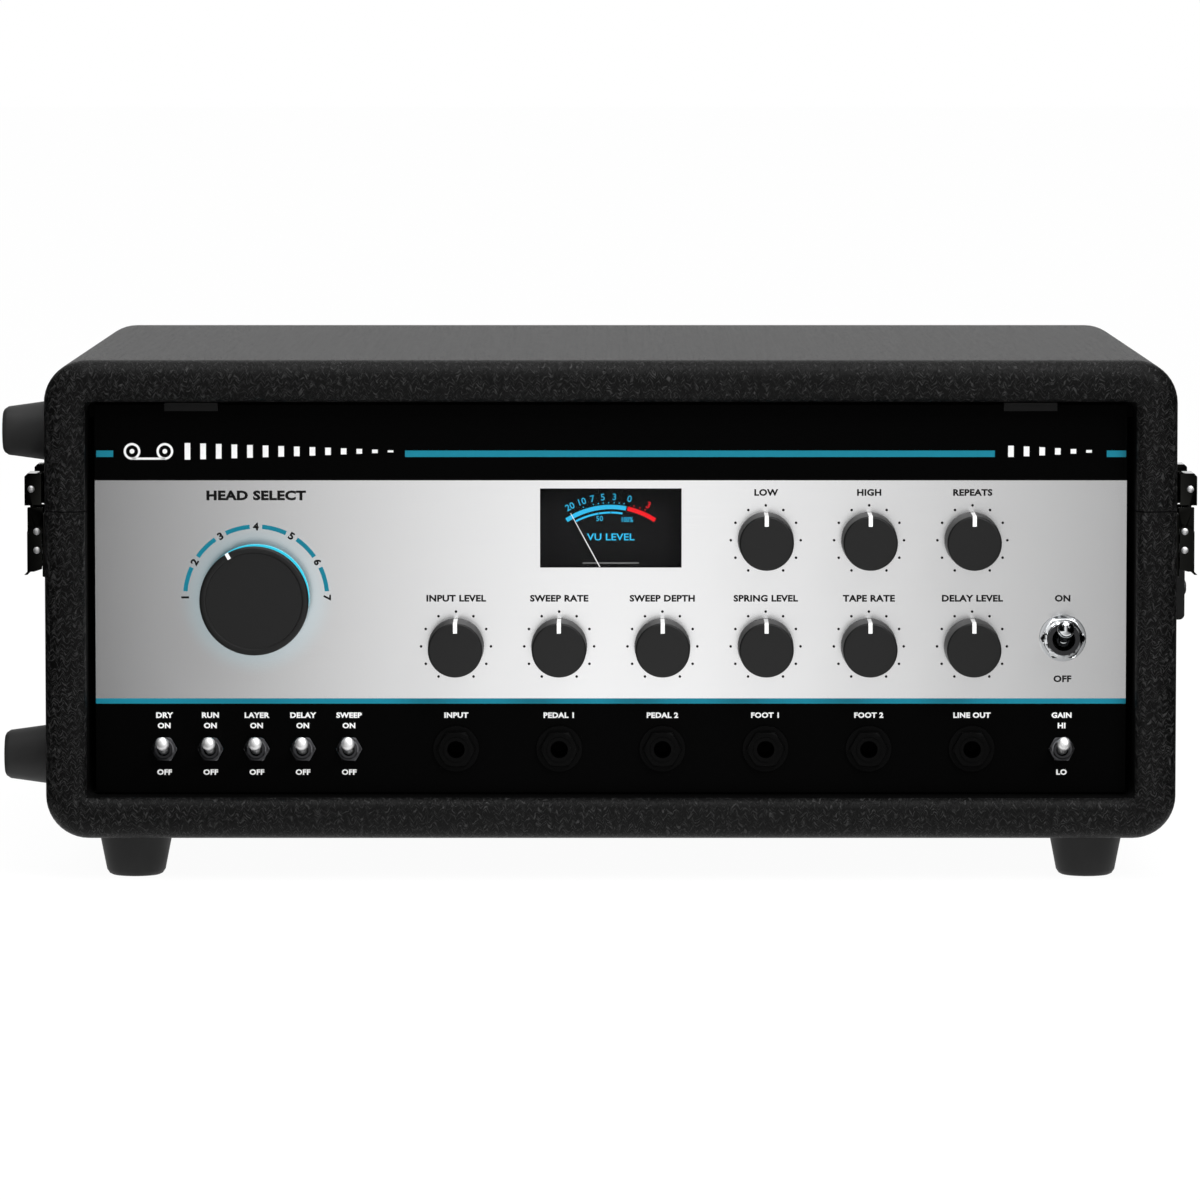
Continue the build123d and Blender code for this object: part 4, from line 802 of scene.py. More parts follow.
class ECHO_OT_stage(bpy.types.Operator):
    """Camera, soft light, pale floor and the dark studio that metal reflects."""

    bl_idname = "echo.stage"
    bl_label = "Stage"

    def execute(self, context):
        camera = bpy.data.objects.new("camera", bpy.data.cameras.new("camera"))
        camera.location = (0, -2.909, 0.3268)
        camera.rotation_euler = (radians(90 - 4.597), 0, 0)
        camera.data.lens = 223.9
        camera.data.sensor_width = 36
        camera.data.shift_x = -0.009
        context.scene.collection.objects.link(camera)
        context.scene.camera = camera
        context.scene.view_settings.view_transform = "Standard"

        world = bpy.data.worlds.new("studio")
        context.scene.world = world
        world.use_nodes = True
        tree = world.node_tree
        sky = tree.nodes["Background"]
        sky.inputs["Color"].default_value = linear("FFFFFF")
        node(tree, "ShaderNodeMapRange", {
            "Value": self.seen_by(tree, "Camera", "Glossy", "Transmission"), "To Min": 0.55, "To Max": 1.0,
        }, sky.inputs["Strength"])

        aim = Vector((0, -0.1, 0.1))
        for name, spot, width, power in (
            ("key", (1.1, -1.9, 1.5), 0.7, 26),
            ("top", (0.2, -0.8, 2.1), 1.6, 26),
            ("fill", (-1.6, -1.6, 1.6), 1.4, 6),
        ):
            lamp = bpy.data.objects.new(name, bpy.data.lights.new(name, "AREA"))
            lamp.data.size = width
            lamp.data.energy = power
            lamp.location = spot
            lamp.rotation_mode = "QUATERNION"
            lamp.rotation_quaternion = (aim - Vector(spot)).to_track_quat("-Z", "Y")
            context.scene.collection.objects.link(lamp)

        bpy.ops.object.select_all(action="DESELECT")
        bpy.ops.mesh.primitive_plane_add(size=40)
        floor = fresh("floor")
        made = bpy.data.materials.new("pale_floor")
        made.use_nodes = True
        tree = made.node_tree
        paint = tree.nodes["Principled BSDF"]
        paint.inputs["Base Color"].default_value = linear("E6E6E6")
        paint.inputs["Roughness"].default_value = 0.9
        paint.inputs["Specular IOR Level"].default_value = 0.0
        white = node(tree, "ShaderNodeEmission", {"Color": linear("FFFFFF"), "Strength": 1.04})
        share = node(tree, "ShaderNodeMapRange", {
            "Value": self.seen_by(tree, "Camera", "Glossy"), "To Min": 0.0, "To Max": 0.92,
        })
        node(tree, "ShaderNodeMixShader", {
            0: share.outputs["Result"], 1: paint.outputs[0], 2: white.outputs[0],
        }, tree.nodes["Material Output"].inputs["Surface"])
        floor.data.materials.append(made)

        # Front of the studio as metal sees it: bright in the middle and darker to the sides, on a
        # wall, on the floor before it and beside the unit, and on two side walls. A point's place is
        # drawn towards the camera's axis with its distance, so that the wall and the floor are
        # bright in the same direction.
        full, narrowing, at_origin = 1.2, -0.361, 0.949
        screen = bpy.data.materials.new("graded_studio")
        screen.use_nodes = True
        tree = screen.node_tree
        spot = node(tree, "ShaderNodeSeparateXYZ", {
            "Vector": node(tree, "ShaderNodeTexCoord").outputs["Object"],
        })
        far = maths(tree, "MULTIPLY_ADD", spot.outputs["Y"], narrowing, at_origin)
        across = maths(tree, "DIVIDE", spot.outputs["X"], far)
        levels = [
            node(tree, "ShaderNodeMapRange", {
                "Value": across, "From Min": bright_to, "From Max": dark_from, "To Min": full, "To Max": 0.0,
            }).outputs["Result"]
            for bright_to, dark_from in ((-0.01, -0.225), (0.01, 0.3))
        ]
        node(
            tree, "ShaderNodeEmission", {"Strength": maths(tree, "MINIMUM", *levels)},
            tree.nodes["Material Output"].inputs["Surface"],
        )
        for name, corner, along, up in (
            ("studio_wall", (-3.0, -1.6, 0.0), (6.0, 0, 0), (0, 0, 4.0)),
            ("studio_floor", (-3.0, -1.6, 0.0005), (6.0, 0, 0), (0, 1.4, 0)),
            ("studio_floor_left", (-3.0, -0.2, 0.0005), (2.74, 0, 0), (0, 2.6, 0)),
            ("studio_floor_right", (0.26, -0.2, 0.0005), (2.74, 0, 0), (0, 2.6, 0)),
            ("studio_left", (-1.3, -1.6, 0.0), (0, 4.0, 0), (0, 0, 2.0)),
            ("studio_right", (1.3, -1.6, 0.0), (0, 4.0, 0), (0, 0, 2.0)),
        ):
            bpy.ops.object.select_all(action="DESELECT")
            bpy.ops.mesh.primitive_plane_add(size=1)
            sheet = fresh(name)
            for vertex, (a, b) in zip(sheet.data.vertices, ((0, 0), (1, 0), (0, 1), (1, 1))):
                vertex.co = Vector(corner) + a * Vector(along) + b * Vector(up)
            sheet.data.materials.append(screen)
            sheet.visible_camera = sheet.visible_diffuse = sheet.visible_shadow = False
            sheet.visible_transmission = False
        return {"FINISHED"}

    def seen_by(self, tree, *kinds):
        """Value that is 1 for rays of these kinds and 0 for others."""
        ray = node(tree, "ShaderNodeLightPath")
        first, *others = [ray.outputs["Is " + kind + " Ray"] for kind in kinds]
        for other in others:
            first = maths(tree, "MAXIMUM", first, other)
        return first


class ECHO_OT_case(bpy.types.Operator):
    """Wooden case and lift-off lid, covered in embossed vinyl, with their inner walls painted near-black as
    painted shade.
    """

    bl_idname = "echo.case"
    bl_label = "Case and lid"

    def execute(self, context):
        wall, margin = 16 * MM, 0.6 * MM
        side, top, bottom = case_high.x - wall, lid_high.z - wall, CASE_BOTTOM + wall
        for part, body in (("case_base", "case"), ("lid", "lid")):
            shell = cast(part, part + "_covering")
            smooth(shell)
            for name in ("embossed_vinyl", "black_lining"):
                shell.data.materials.append(finish(name))
            # Faces inside the opening are painted near-black: painted shade where little light reaches.
            for face in shell.data.polygons:
                x, _, z = face.center
                inner = abs(x) < side + margin and bottom - margin < z < top + margin
                face.material_index = 1 if inner else 0
            settle(shell, None, body, "vinyl_case", part)
        return {"FINISHED"}


class ECHO_OT_panel(bpy.types.Operator):
    """Control panel: brushed sheet between two black bands, edged by printed stripes."""

    bl_idname = "echo.panel"
    bl_label = "Control panel"

    def execute(self, context):
        sheet = cast("faceplate", "control_panel")
        metal_low, metal_high = CASE_BOTTOM + 51.6 * MM, CASE_BOTTOM + 132.9 * MM
        stripe_low = CASE_BOTTOM + (142.8 - size("stripe") / 2) * MM
        stripe_high = stripe_low + size("stripe") * MM
        line_low = metal_low - size("line") * MM
        runs = [(-191.1, -184.8), (-76.4, 142.6), (184.2, 191.4)]
        for height in (line_low, metal_low, metal_high, stripe_low, stripe_high):
            score(sheet, (0, 0, height), (0, 0, 1))
        for x in [edge for run in runs for edge in run]:
            score(sheet, (x * MM, 0, 0), (1, 0, 0))
        for name in ("black_enamel", "brushed_aluminium", "stripe_enamel", "clip_steel"):
            sheet.data.materials.append(finish(name))
        for face in sheet.data.polygons:
            x, y, z = face.center
            front = face.normal.y < -0.5
            if y < PANEL_FRONT - 0.1 * MM:
                face.material_index = 3
            elif metal_low < z < metal_high and (front or abs(face.normal.z) < 0.5):
                face.material_index = 1
            elif front and line_low < z < metal_low:
                face.material_index = 2
            elif front and stripe_low < z < stripe_high and any(a * MM < x < b * MM for a, b in runs):
                face.material_index = 2
        smooth(sheet)
        settle(sheet, None, "case", "faceplate", "faceplate")
        # Near-black strips in the gaps behind the panel's top edge and under its bottom edge: painted shade.
        low, high = (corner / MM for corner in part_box("faceplate"))
        reach, back = high.x + 2.4, PANEL_FRONT / MM + 2.5
        gap_shade_strips = [
            block("seal", (-reach, back, high.z - 5.4), (reach, back + 2.5, high.z + 1.1)),
            block("seal", (-reach, back - 1.0, low.z - 0.9), (reach, back + 1.0, low.z - 0.05)),
        ]
        settle(soften(joined("panel_seals", gap_shade_strips), 0.3), finish("black_lining"), "case", "rubber")
        return {"FINISHED"}


class ECHO_OT_lettering(bpy.types.Operator):
    """Printed words, dots and arcs of the control panel."""

    bl_idname = "echo.lettering"
    bl_label = "Panel lettering"

    def execute(self, context):
        # Heights of the rows of words above the case's bottom, and of what stands round the knobs.
        height, mini_height, digit_height, selector_height = size("lettering"), 2.1, 2.85, 3.7
        upper_row, lower_row, off_row, selector_row = 128.4, 88.95, 58.9, 127.3
        name_row, on_row, mini_off_row = 45.3, 41.4, 24.0
        dot_ring, digit_ring = 13, 26.4
        dark, pale, tinted = [], [], []
        upper_words = {"bass_knob": "LOW", "treble_knob": "HIGH", "repeat_knob": "REPEATS"}
        lower_words = {
            "input_knob": "INPUT LEVEL", "mod_rate_knob": "SWEEP RATE", "mod_depth_knob": "SWEEP DEPTH",
            "reverb_knob": "SPRING LEVEL", "tape_speed_knob": "TAPE RATE", "echo_knob": "DELAY LEVEL",
        }
        for row, words, rise in (("upper", upper_words, upper_row), ("lower", lower_words, lower_row)):
            for knob in KNOBS[row]:
                dark.append(label(knob + "_word", words[knob], height, on_panel(pivot(knob).x, rise)))
        pattern = spun("dot", [(0, 0), (0.5, 0), (0.5, INK), (0, INK)], 12)
        for knob in KNOBS["upper"] + KNOBS["lower"]:
            centre = on_front(pivot(knob).x, pivot(knob).z)
            for step in range(11):
                spot = centre @ turned("Z", 150 - 30 * step) @ moved(0, dot_ring, 0)
                dark.append(copied(pattern, "dot", spot))
        dropped(pattern)
        mode = pivot("mode_knob")
        centre = on_front(mode.x, mode.z)
        for step in range(7):
            angle = 180 - 30 * step
            at = centre @ turned("Z", angle - 90) @ moved(0, digit_ring, 0)
            dark.append(label("digit", str(step + 1), digit_height, at))
            if step < 6:
                band = arc_band("arc", digit_ring, 1.6, angle - 5, angle - 25)
                tinted.append(place(band, centre))
        dark.append(label(
            "selector_word", "HEAD SELECT", selector_height, on_panel(mode.x, selector_row), 1.22, 0.05,
        ))
        power = pivot("power_lever")
        for word, rise in (("ON", lower_row), ("OFF", off_row)):
            dark.append(label("power_word", word, height, on_panel(power.x, rise)))
        mini_words = ("DRY", "RUN", "LAYER", "DELAY", "SWEEP", "GAIN")
        for lever, word in zip(MINI_LEVERS, mini_words):
            x = pivot(lever).x
            states = ("HI", "LO") if word == "GAIN" else ("ON", "OFF")
            for text, rise in ((word, name_row), (states[0], on_row), (states[1], mini_off_row)):
                pale.append(label("mini_word", text, mini_height, on_panel(x, rise)))
        for knob, word in zip(
            KNOBS["lower"], ("INPUT", "PEDAL 1", "PEDAL 2", "FOOT 1", "FOOT 2", "LINE OUT"),
        ):
            pale.append(label("jack_word", word, mini_height, on_panel(pivot(knob).x, name_row)))
        pale += self.reels_and_echoes()
        for name, pieces, ink in (
            ("panel_print_dark", dark, "black_ink"), ("panel_print_pale", pale, "white_ink"),
            ("panel_print_tinted", tinted, "stripe_enamel"),
        ):
            settle(joined(name, pieces), finish(ink), "case", "faceplate")
        return {"FINISHED"}


    def reels_and_echoes(self):
        """Picture of two reels with a tape between them, and two rows of bars that die away."""
        marks, rise, reels = [], 143.7, (-177.8, -165.6)
        for x in reels:
            for inner, outer in ((2.25, 3.1), (0.0, 0.9)):
                ring = spun("reel", [
                    (inner, 0), (outer, 0), (outer, INK), (inner, INK),
                ], 40, closed=bool(inner))
                marks.append(place(ring, on_panel(x * MM, rise)))
        front = PANEL_FRONT / MM
        level = CASE_BOTTOM / MM + rise
        marks.append(block("tape_line", (reels[0], front - INK, level - 3.1), (reels[1], front, level - 2.3)))
        pitch, wide = 5.8, 2.1
        for first, bars, tall in ((-157.2, 14, 6.2), (148.6, 6, 4.2)):
            for step in range(bars):
                x = first + step * pitch
                half = tall / 2 * (1 - step / bars) ** 0.8
                low, high = (x - wide / 2, front - INK, level - half), (x + wide / 2, front, level + half)
                marks.append(block("bar", low, high))
        return marks


class ECHO_OT_knobs(bpy.types.Operator):
    """Nine moulded knobs with a painted pointer, copied from one."""

    bl_idname = "echo.knobs"
    bl_label = "Knobs"

    def execute(self, context):
        body = spun("knob", [
            (0, 10), (3.05, 10), (3.05, 4.8), (7.2, 4.8), (7.2, 1), (10.1, 1), (10.4, 1.3),
            (10.1, 17.2), (10.05, 17.4), (9.9, 17.75), (9.65, 17.93), (9.35, 18), (0, 18),
        ], 72)
        smooth(body, 40)
        width = size("pointer")
        line = ribbon("pointer", [
            (6.3, 18.02), (9.35, 18.02), (9.66, 17.96), (9.94, 17.78), (10.1, 17.4), (10.14, 17.2),
            (10.42, 1.6),
        ], width, 0.12)
        place(line, turned("Z", 90))
        smooth(line, 40)
        body.data.materials.append(finish("knob_abs"))
        line.data.materials.append(finish("pointer_paint"))
        pattern = joined("knob_pattern", [body, line])
        for knob in KNOBS["upper"] + KNOBS["lower"]:
            at = pivot(knob)
            made = copied(pattern, knob + "_cap", on_front(at.x, at.z))
            settle(made, None, knob, "knob_plastic", knob)
        dropped(pattern)
        return {"FINISHED"}


class ECHO_OT_mode_knob(bpy.types.Operator):
    """Large selector knob with its raised border, tick and the lit ring behind it."""

    bl_idname = "echo.mode_knob"
    bl_label = "Selector knob"

    def execute(self, context):
        at = pivot("mode_knob")
        cap = spun("selector_cap", [
            (0, 10), (3.05, 10), (3.05, 6), (9, 6), (9, 2), (18.7, 2), (19.0, 2.3), (20.25, 16.6),
            (20.2, 17.2), (19.9, 17.75), (19.4, 18), (18.2, 18), (17.95, 17.9), (17.8, 17.6), (0, 17.55),
        ], 120)
        smooth(cap, 40)
        tick = ribbon("selector_tick", [
            (18.0, 17.99), (18.2, 18.02), (19.4, 18.02), (19.92, 17.78), (20.22, 17.2), (20.27, 16.6),
            (20.1, 14.6),
        ], 1.3, 0.12)
        smooth(tick, 40)
        cap.data.materials.append(finish("knob_abs"))
        tick.data.materials.append(finish("pointer_paint"))
        place(tick, turned("Z", 120))
        made = place(joined("selector_knob", [cap, tick]), on_front(at.x, at.z))
        settle(made, None, "mode_knob", "knob_plastic", "mode_knob")
        ring = spun("ring_of_light", [
            (12, 0), (19.6, 0), (19.8, 0.2), (19.8, 1.0), (19.6, 1.2), (12, 1.2),
        ], 120, closed=True)
        smooth(ring)
        place(ring, on_front(at.x, at.z))
        settle(ring, finish("lit_acrylic"), "case", "glow", "glow_ring")
        return {"FINISHED"}


class ECHO_OT_meter(bpy.types.Operator):
    """Level meter: housing, window, printed dial and needle."""

    bl_idname = "echo.meter"
    bl_label = "Level meter"

    def execute(self, context):
        dress("meter_housing", "meter_case", "dial_card", "case", "faceplate")
        dress("meter_window", "meter_glass", "clear_acrylic", "case", "clear")
        centre, dial_y, needle_rest = pivot("meter_needle"), -134.5 * MM, 28.5
        arc_radius, digit_radius, dot_radius, top_range = 29.8, 33.6, 31.4, -13
        flat = Matrix.Translation((0, dial_y - 0.02 * MM, centre.z)) @ turned("X", 90)
        scale = [
            arc_band("arc", arc_radius, 1.6, 90 + 33.6, 90 - 11, INK, 40),
            *[
                arc_band("arc", 27.7, 0.7, 90 + start, 90 + end, INK, 16)
                for start, end in ((28, 9.6), (9.2, 0.2), (-0.2, -9))
            ],
        ]
        over = [arc_band("arc", arc_radius, 1.6, 90 - 12, 90 - 33.6, INK, 20)]
        for angle, text in (
            (27, "20"), (19, "10"), (11.9, "7"), (5.1, "5"), (-2.3, "3"), (-12, "0"), (-24.7, "3"),
        ):
            at = turned("Z", angle) @ moved(0, digit_radius, 0)
            (over if angle < top_range else scale).append(label("digit", text, 2.5, at, 1.0, 0.012))
        dot = spun("dot", [(0, 0), (0.24, 0), (0.24, INK), (0, INK)], 8)
        for angle in (19, 11.9, 8.5, 5.1, 1.5, -2.3, -5.8, -9, -16, -20.3, -24):
            at = turned("Z", angle) @ moved(0, dot_radius, 0)
            (over if angle < top_range else scale).append(copied(dot, "dot", at))
        dropped(dot)
        for text, tall, x, y, wide, bold in (
            ("50", 1.9, -4.2, 25.5, 1.0, 0.01), ("100%", 1.9, 6, 25.1, 0.8, 0.01),
            ("VU LEVEL", 2.6, 0, 18.6, 1.15, 0.015),
        ):
            scale.append(label("word", text, tall, moved(x, y, 0), wide, bold))
        pale = [block("rule", (-10.5, 8.6, 0), (10.5, 9.1, INK))]
        for name, pieces, ink in (
            ("meter_scale", scale, "scale_ink"), ("meter_overload", over, "overload_ink"),
            ("meter_print", pale, "pale_ink"),
        ):
            settle(place(joined(name, pieces), flat), finish(ink), "case", "faceplate")
        blade = block("needle_blade", (-0.24, 0, 0.9), (0.24, 31.4, 1.15))
        with editing(blade):
            pick(blade, "faces", lambda face: face.normal.y > 0.9)
            bpy.ops.transform.resize(value=(0.4, 1, 1))
        hub = spun("needle_hub", [(0, 0.4), (2.3, 0.4), (2.6, 0.7), (2.6, 1.3), (2.3, 1.6), (0, 1.6)], 32)
        smooth(hub)
        needle = joined("meter_pointer", [blade, hub])
        place(needle, turned("Z", needle_rest))
        place(needle, Matrix.Translation((0, dial_y - 0.7 * MM, centre.z)) @ turned("X", 90))
        settle(needle, finish("needle_paint"), "meter_needle", "needle", "meter_needle")
        return {"FINISHED"}


class ECHO_OT_power_switch(bpy.types.Operator):
    """Mains toggle with its washer, hexagon nut, threaded bushing and bat lever."""

    bl_idname = "echo.power_switch"
    bl_label = "Mains switch"

    def execute(self, context):
        at = pivot("power_lever")
        front = on_front(at.x, at.z)
        washer = soften(spun("washer", [(6.1, 0), (8.75, 0), (8.75, 1), (6.1, 1)], 48, closed=True), 0.2, 2)
        nut = place(hexagon("nut", 14.6, 2.6, 5.7), moved(0, 0, 1))
        thread = threaded("thread", 6.1, 5.9, 3.6, 7.8, 0.9, 0.14)
        settle(
            place(joined("mains_switch_nut", [washer, nut, thread]), front), finish("bright_chrome"),
            "case", "chrome",
        )
        lever = spun("mains_switch_bat", [
            (0, -3.9), (2.0, -3.35), (3.4, -1.9), (3.9, 0), (3.4, 1.9), (2.2, 3.2), (1.9, 3.9), (1.95, 6),
            (2.4, 11), (2.95, 15.5), (3.2, 17.5), (3.15, 18.7), (2.7, 19.7), (1.9, 20.35), (1.0, 20.65),
            (0, 20.7),
        ], 48)
        smooth(lever, 60)
        tilt = Matrix.Translation(at) @ turned("X", 90 - LEVER_TILT)
        settle(place(lever, tilt), finish("bright_chrome"), "power_lever", "chrome", "power_lever")
        return {"FINISHED"}


class ECHO_OT_mini_switches(bpy.types.Operator):
    """Six miniature toggles, copied from one, and the switch bodies behind the panel."""

    bl_idname = "echo.mini_switches"
    bl_label = "Miniature switches"

    def execute(self, context):
        nut = hexagon("nut", 8.7, 2.0, 2.95)
        thread = threaded("thread", 3.22, 3.05, 2.0, 5.3, 0.7, 0.12)
        mount = joined("mini_mount", [nut, thread])
        bat = spun("mini_bat", [
            (0, -2.05), (1.2, -1.65), (1.9, -0.8), (2.05, 0), (1.8, 1.0), (1.2, 1.75), (1.1, 2.3),
            (1.3, 4), (1.95, 7.5), (2.4, 10.2), (2.5, 11.2), (2.4, 12.0), (2.0, 12.6), (1.2, 12.95),
            (0, 13.0),
        ], 32)
        smooth(bat, 60)
        mounts = []
        for lever in MINI_LEVERS:
            at = pivot(lever)
            mounts.append(copied(mount, "mini_mount", on_front(at.x, at.z)))
            tilt = Matrix.Translation(at) @ turned("X", 90 - LEVER_TILT)
            made = copied(bat, lever.replace("lever", "bat"), tilt)
            settle(made, finish("bat_chrome"), lever, "chrome", lever)
        dropped(mount, bat)
        settle(joined("mini_switch_nuts", mounts), finish("dark_chrome"), "case", "chrome")
        without_nuts("toggle_bodies", "switch_bodies", "dark_chrome", "black_hardware")
        return {"FINISHED"}


class ECHO_OT_jacks(bpy.types.Operator):
    """Six jack sockets with black nuts and threaded barrels."""

    bl_idname = "echo.jacks"
    bl_label = "Front sockets"

    def execute(self, context):
        flange = spun("flange", [(4.7, 0), (8.6, 0), (8.6, 1.2), (4.7, 1.2)], 48, closed=True)
        soften(flange, 0.25, 2)
        nut = place(hexagon("nut", 12.8, 2.6, 4.4), moved(0, 0, 1.2))
        pattern = joined("socket_pattern", [flange, nut])
        sockets, socket_row = [], 32.8
        for knob in KNOBS["lower"]:
            sockets.append(copied(pattern, "socket", on_panel(pivot(knob).x, socket_row)))
        dropped(pattern)
        settle(joined("front_socket_nuts", sockets), finish("socket_nylon"), "case", "black_hardware")
        without_nuts("front_jacks", "front_socket_bodies", "socket_nylon", "black_hardware")
        return {"FINISHED"}


class ECHO_OT_latches(bpy.types.Operator):
    """Draw latches on both sides."""

    bl_idname = "echo.latches"
    bl_label = "Latches"

    def execute(self, context):
        edge = size("edge")
        dress("latch_plates", "latch_bases", "black_nickel", "case", "black_hardware", edge)
        dress("latch_keepers", "latch_hooks", "black_nickel", "lid", "black_hardware", edge)
        rivet = spun("rivet", [(0, 0), (1.3, 0), (1.25, 0.25), (0.9, 0.5), (0.4, 0.6), (0, 0.6)], 24)
        smooth(rivet)
        for side, sign in (("left", -1), ("right", 1)):
            for part in ("latch_levers_", "latch_claws_"):
                body = part + side
                dress(body, body + "_plated", "black_nickel", body, "black_hardware", edge)
            lever_pin, claw_pin = pivot("latch_levers_" + side), pivot("latch_claws_" + side)
            boss = claw_pin + Vector((sign * 2.3, 0, 22.5)) * MM
            for name, body, places, out in (
                ("latch_rivets_", "latch_levers_", (lever_pin, claw_pin), 11.2),
                ("claw_rivets_", "latch_claws_", (boss,), 7.4),
            ):
                heads = [
                    copied(
                        rivet, "rivet",
                        Matrix.Translation((at.x, y + end * out * MM, at.z)) @ turned("X", end * -90),
                    )
                    for y in self.rows() for end in (-1, 1) for at in places
                ]
                settle(joined(name + side, heads), finish("bat_chrome"), body + side, "chrome")
        dropped(rivet)
        return {"FINISHED"}

    def rows(self):
        """Y of the front and the rear latches."""
        low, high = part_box("latch_keepers")
        return low.y + 6.0 * MM, high.y - 6.0 * MM


class ECHO_OT_handle(bpy.types.Operator):
    """Strap handle with its end caps."""

    bl_idname = "echo.handle"
    bl_label = "Handle"

    def execute(self, context):
        dress("handle_strap", "strap", "leatherette", "handle_strap", "strap", 0.9)
        dress("handle_caps", "strap_caps", "fitting_nylon", "case", "black_hardware", 0.3)
        low, high = (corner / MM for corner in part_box("handle_caps"))
        middle_z, screw_reach, pattern = (low.z + high.z) / 2, 89.5, screw("cap_screw", 3.0, 1.6)
        screws = [
            copied(pattern, "cap_screw", on_right(high.x, end * screw_reach, middle_z)) for end in (-1, 1)
        ]
        dropped(pattern)
        settle(joined("strap_cap_screws", screws), finish("zinc_steel"), "case", "steel")
        # The strap's outer face is an arc that rises by its bow over its free half.
        free_half, bow, pitch, inset = 76.0, 9.8, 4.0, 2.2
        low, high = (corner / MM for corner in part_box("handle_strap"))
        crown, half_width = high.x, (high.z - low.z) / 2
        radius = (free_half ** 2 + bow ** 2) / (2 * bow)
        thread = spun("stitch", [(0, -1.3), (0.22, -1.1), (0.28, 0), (0.22, 1.1), (0, 1.3)], 8)
        smooth(thread, 60)
        stitches, count = [], int(2 * (free_half - 3) / pitch)
        for step in range(count + 1):
            angle = (step - count / 2) * pitch / radius
            x, y = crown - radius * (1 - cos(angle)), radius * sin(angle)
            for edge in (-1, 1):
                spot = moved(x - 0.35, y, middle_z + edge * (half_width - inset))
                turn = Matrix.Rotation(-angle, 4, "Z") @ turned("X", 90)
                stitches.append(copied(thread, "stitch", spot @ turn))
        dropped(thread)
        settle(joined("strap_stitches", stitches), finish("twisted_thread"), "handle_strap", "strap")
        return {"FINISHED"}


class ECHO_OT_feet(bpy.types.Operator):
    """Rubber feet under the case and on its left side, with their screws."""

    bl_idname = "echo.feet"
    bl_label = "Feet"

    def execute(self, context):
        dress("bottom_feet", "case_feet", "foot_rubber", "case", "rubber")
        # The side feet take the lighter copy of the feet's rubber: painted light.
        dress("side_feet", "case_side_feet", "side_foot_rubber", "case", "rubber")
        dress("lid_side_feet", "lid_feet", "side_foot_rubber", "lid", "rubber")
        dress("feet_screws", "foot_screws", "zinc_steel", "case", "steel", 0.3)
        return {"FINISHED"}


class ECHO_OT_rear(bpy.types.Operator):
    """Rear panel with its vents, sockets, fuse holder and mains inlet."""

    bl_idname = "echo.rear"
    bl_label = "Rear panel"

    def execute(self, context):
        dress("rear_panel", "back_panel", "rear_enamel", "case", "faceplate")
        dress("rear_connectors", "back_connectors", "fitting_nylon", "case", "black_hardware", 0.2)
        low, high = (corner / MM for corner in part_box("rear_panel"))
        rise = 62
        words = [
            label("rear_word", word, 3.0, on_rear((low.x + inset) * MM, CASE_BOTTOM + rise * MM))
            for word, inset in (("MAINS", 36.7), ("FUSE", 69.7), ("OUT 1", 96.7), ("OUT 2", 119.7))
        ]
        settle(joined("rear_print", words), finish("white_ink"), "case", "faceplate")
        pattern, inset = screw("rear_screw", 3.0, 1.8), 6.5
        screws = [
            copied(pattern, "rear_screw", on_rear(x * MM, z * MM))
            for x in (low.x + inset, (low.x + high.x) / 2, high.x - inset)
            for z in (low.z + inset, high.z - inset)
        ]
        dropped(pattern)
        settle(joined("rear_screws", screws), finish("zinc_steel"), "case", "steel")
        return {"FINISHED"}


class ECHO_OT_deck(bpy.types.Operator):
    """Tape deck: plate, tank, cover, heads, guides, loop, capstan and pinch roller."""

    bl_idname = "echo.deck"
    bl_label = "Tape deck"

    def execute(self, context):
        for part, name, material, body, slot, edge in (
            ("deck_plate", "deck", "deck_enamel", "case", "steel", 0.3),
            ("tape_tank", "tank", "tank_abs", "case", "tank_plastic", 0.3),
            ("tank_cover", "tank_lid", "smoked_acrylic", "case", "clear", 0.3),
            ("tape_heads", "heads", "ground_steel", "case", "polished_steel", 0.25),
            ("tape_guides", "guides", "ground_steel", "case", "polished_steel", 0.2),
            ("tape_loop", "tape", "oxide_tape", "case", "tape", None),
            ("capstan", "capstan_shaft", "ground_steel", "capstan", "polished_steel", 0.2),
            ("capstan_motor", "motor", "zinc_steel", "case", "steel", 0.4),
            ("motor_pulley", "pulley", "turned_brass", "motor_pulley", "steel", 0.2),
            ("drive_belt", "belt", "belt_rubber", "case", "rubber", None),
            ("pinch_arm", "roller_arm", "zinc_steel", "pinch_arm", "steel", 0.3),
            ("pinch_roller", "roller", "roller_rubber", "pinch_roller", "roller_rubber", 0.3),
        ):
            dress(part, name, material, body, slot, edge)
        return {"FINISHED"}


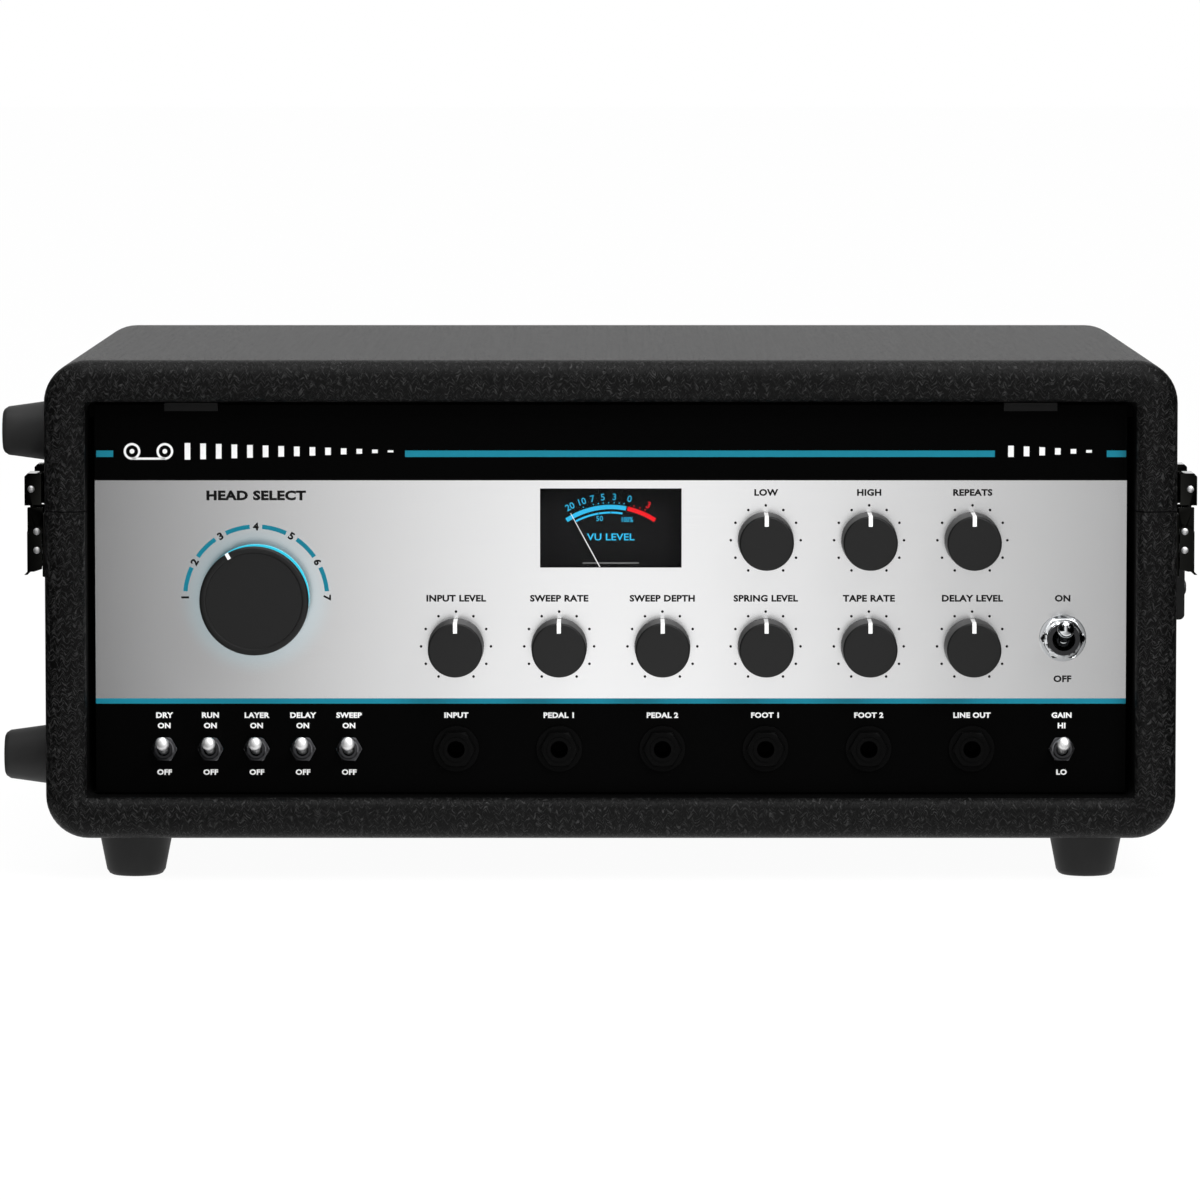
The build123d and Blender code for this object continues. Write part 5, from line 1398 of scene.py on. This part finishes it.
class ECHO_OT_inside(bpy.types.Operator):
    """Chassis, boards, transformer, controls and spring reverb."""

    bl_idname = "echo.inside"
    bl_label = "Inside"

    def execute(self, context):
        for part, name, material, slot, edge in (
            ("chassis_tray", "chassis", "zinc_steel", "steel", 0.3),
            ("main_board", "signal_board", "solder_masked_board", "board", 0.15),
            ("control_board", "panel_board", "solder_masked_board", "board", None),
            ("mains_transformer", "transformer", "laminated_steel", "steel", 0.5),
            ("reverb_pan", "spring_pan", "zinc_steel", "steel", 0.4),
            ("reverb_springs", "springs", "ground_steel", "steel", None),
            ("mode_switch", "selector_switch", "zinc_steel", "steel", 0.2),
            ("pot_bodies", "potentiometers", "zinc_steel", "steel", 0.2),
        ):
            dress(part, name, material, "case", slot, edge)
        return {"FINISHED"}


class ECHO_PT_panel(bpy.types.Panel):
    """Sizes, colours and building steps of the tape echo unit."""

    bl_idname = "ECHO_PT_panel"
    bl_label = "Echo unit"
    bl_space_type = "VIEW_3D"
    bl_region_type = "UI"
    bl_category = "Echo unit"

    def draw(self, context):
        for group in (context.scene.echo_sizes, context.scene.echo_colours):
            for name in group.bl_rna.properties.keys():
                if name not in ("rna_type", "name"):
                    self.layout.prop(group, name)
        for step in STEPS:
            self.layout.operator(step.bl_idname)


STEPS = (
    ECHO_OT_stage, ECHO_OT_case, ECHO_OT_panel, ECHO_OT_lettering, ECHO_OT_knobs, ECHO_OT_mode_knob,
    ECHO_OT_meter, ECHO_OT_power_switch, ECHO_OT_mini_switches, ECHO_OT_jacks, ECHO_OT_latches,
    ECHO_OT_handle, ECHO_OT_feet, ECHO_OT_rear, ECHO_OT_deck, ECHO_OT_inside,
)
GROUPS = (("echo_sizes", EchoSizes), ("echo_colours", EchoColours))


def register():
    """Adds the settings, steps and panel to Blender."""
    for name, group in GROUPS:
        bpy.utils.register_class(group)
        setattr(bpy.types.Scene, name, PointerProperty(type=group))
    for part in (*STEPS, ECHO_PT_panel):
        bpy.utils.register_class(part)


def unregister():
    """Takes them away again."""
    for part in (ECHO_PT_panel, *reversed(STEPS)):
        bpy.utils.unregister_class(part)
    for name, group in reversed(GROUPS):
        delattr(bpy.types.Scene, name)
        bpy.utils.unregister_class(group)


def main():
    """Builds everything in order."""
    register()
    for step in STEPS:
        family, name = step.bl_idname.split(".")
        getattr(getattr(bpy.ops, family), name)()


if __name__ == "__main__":
    main()
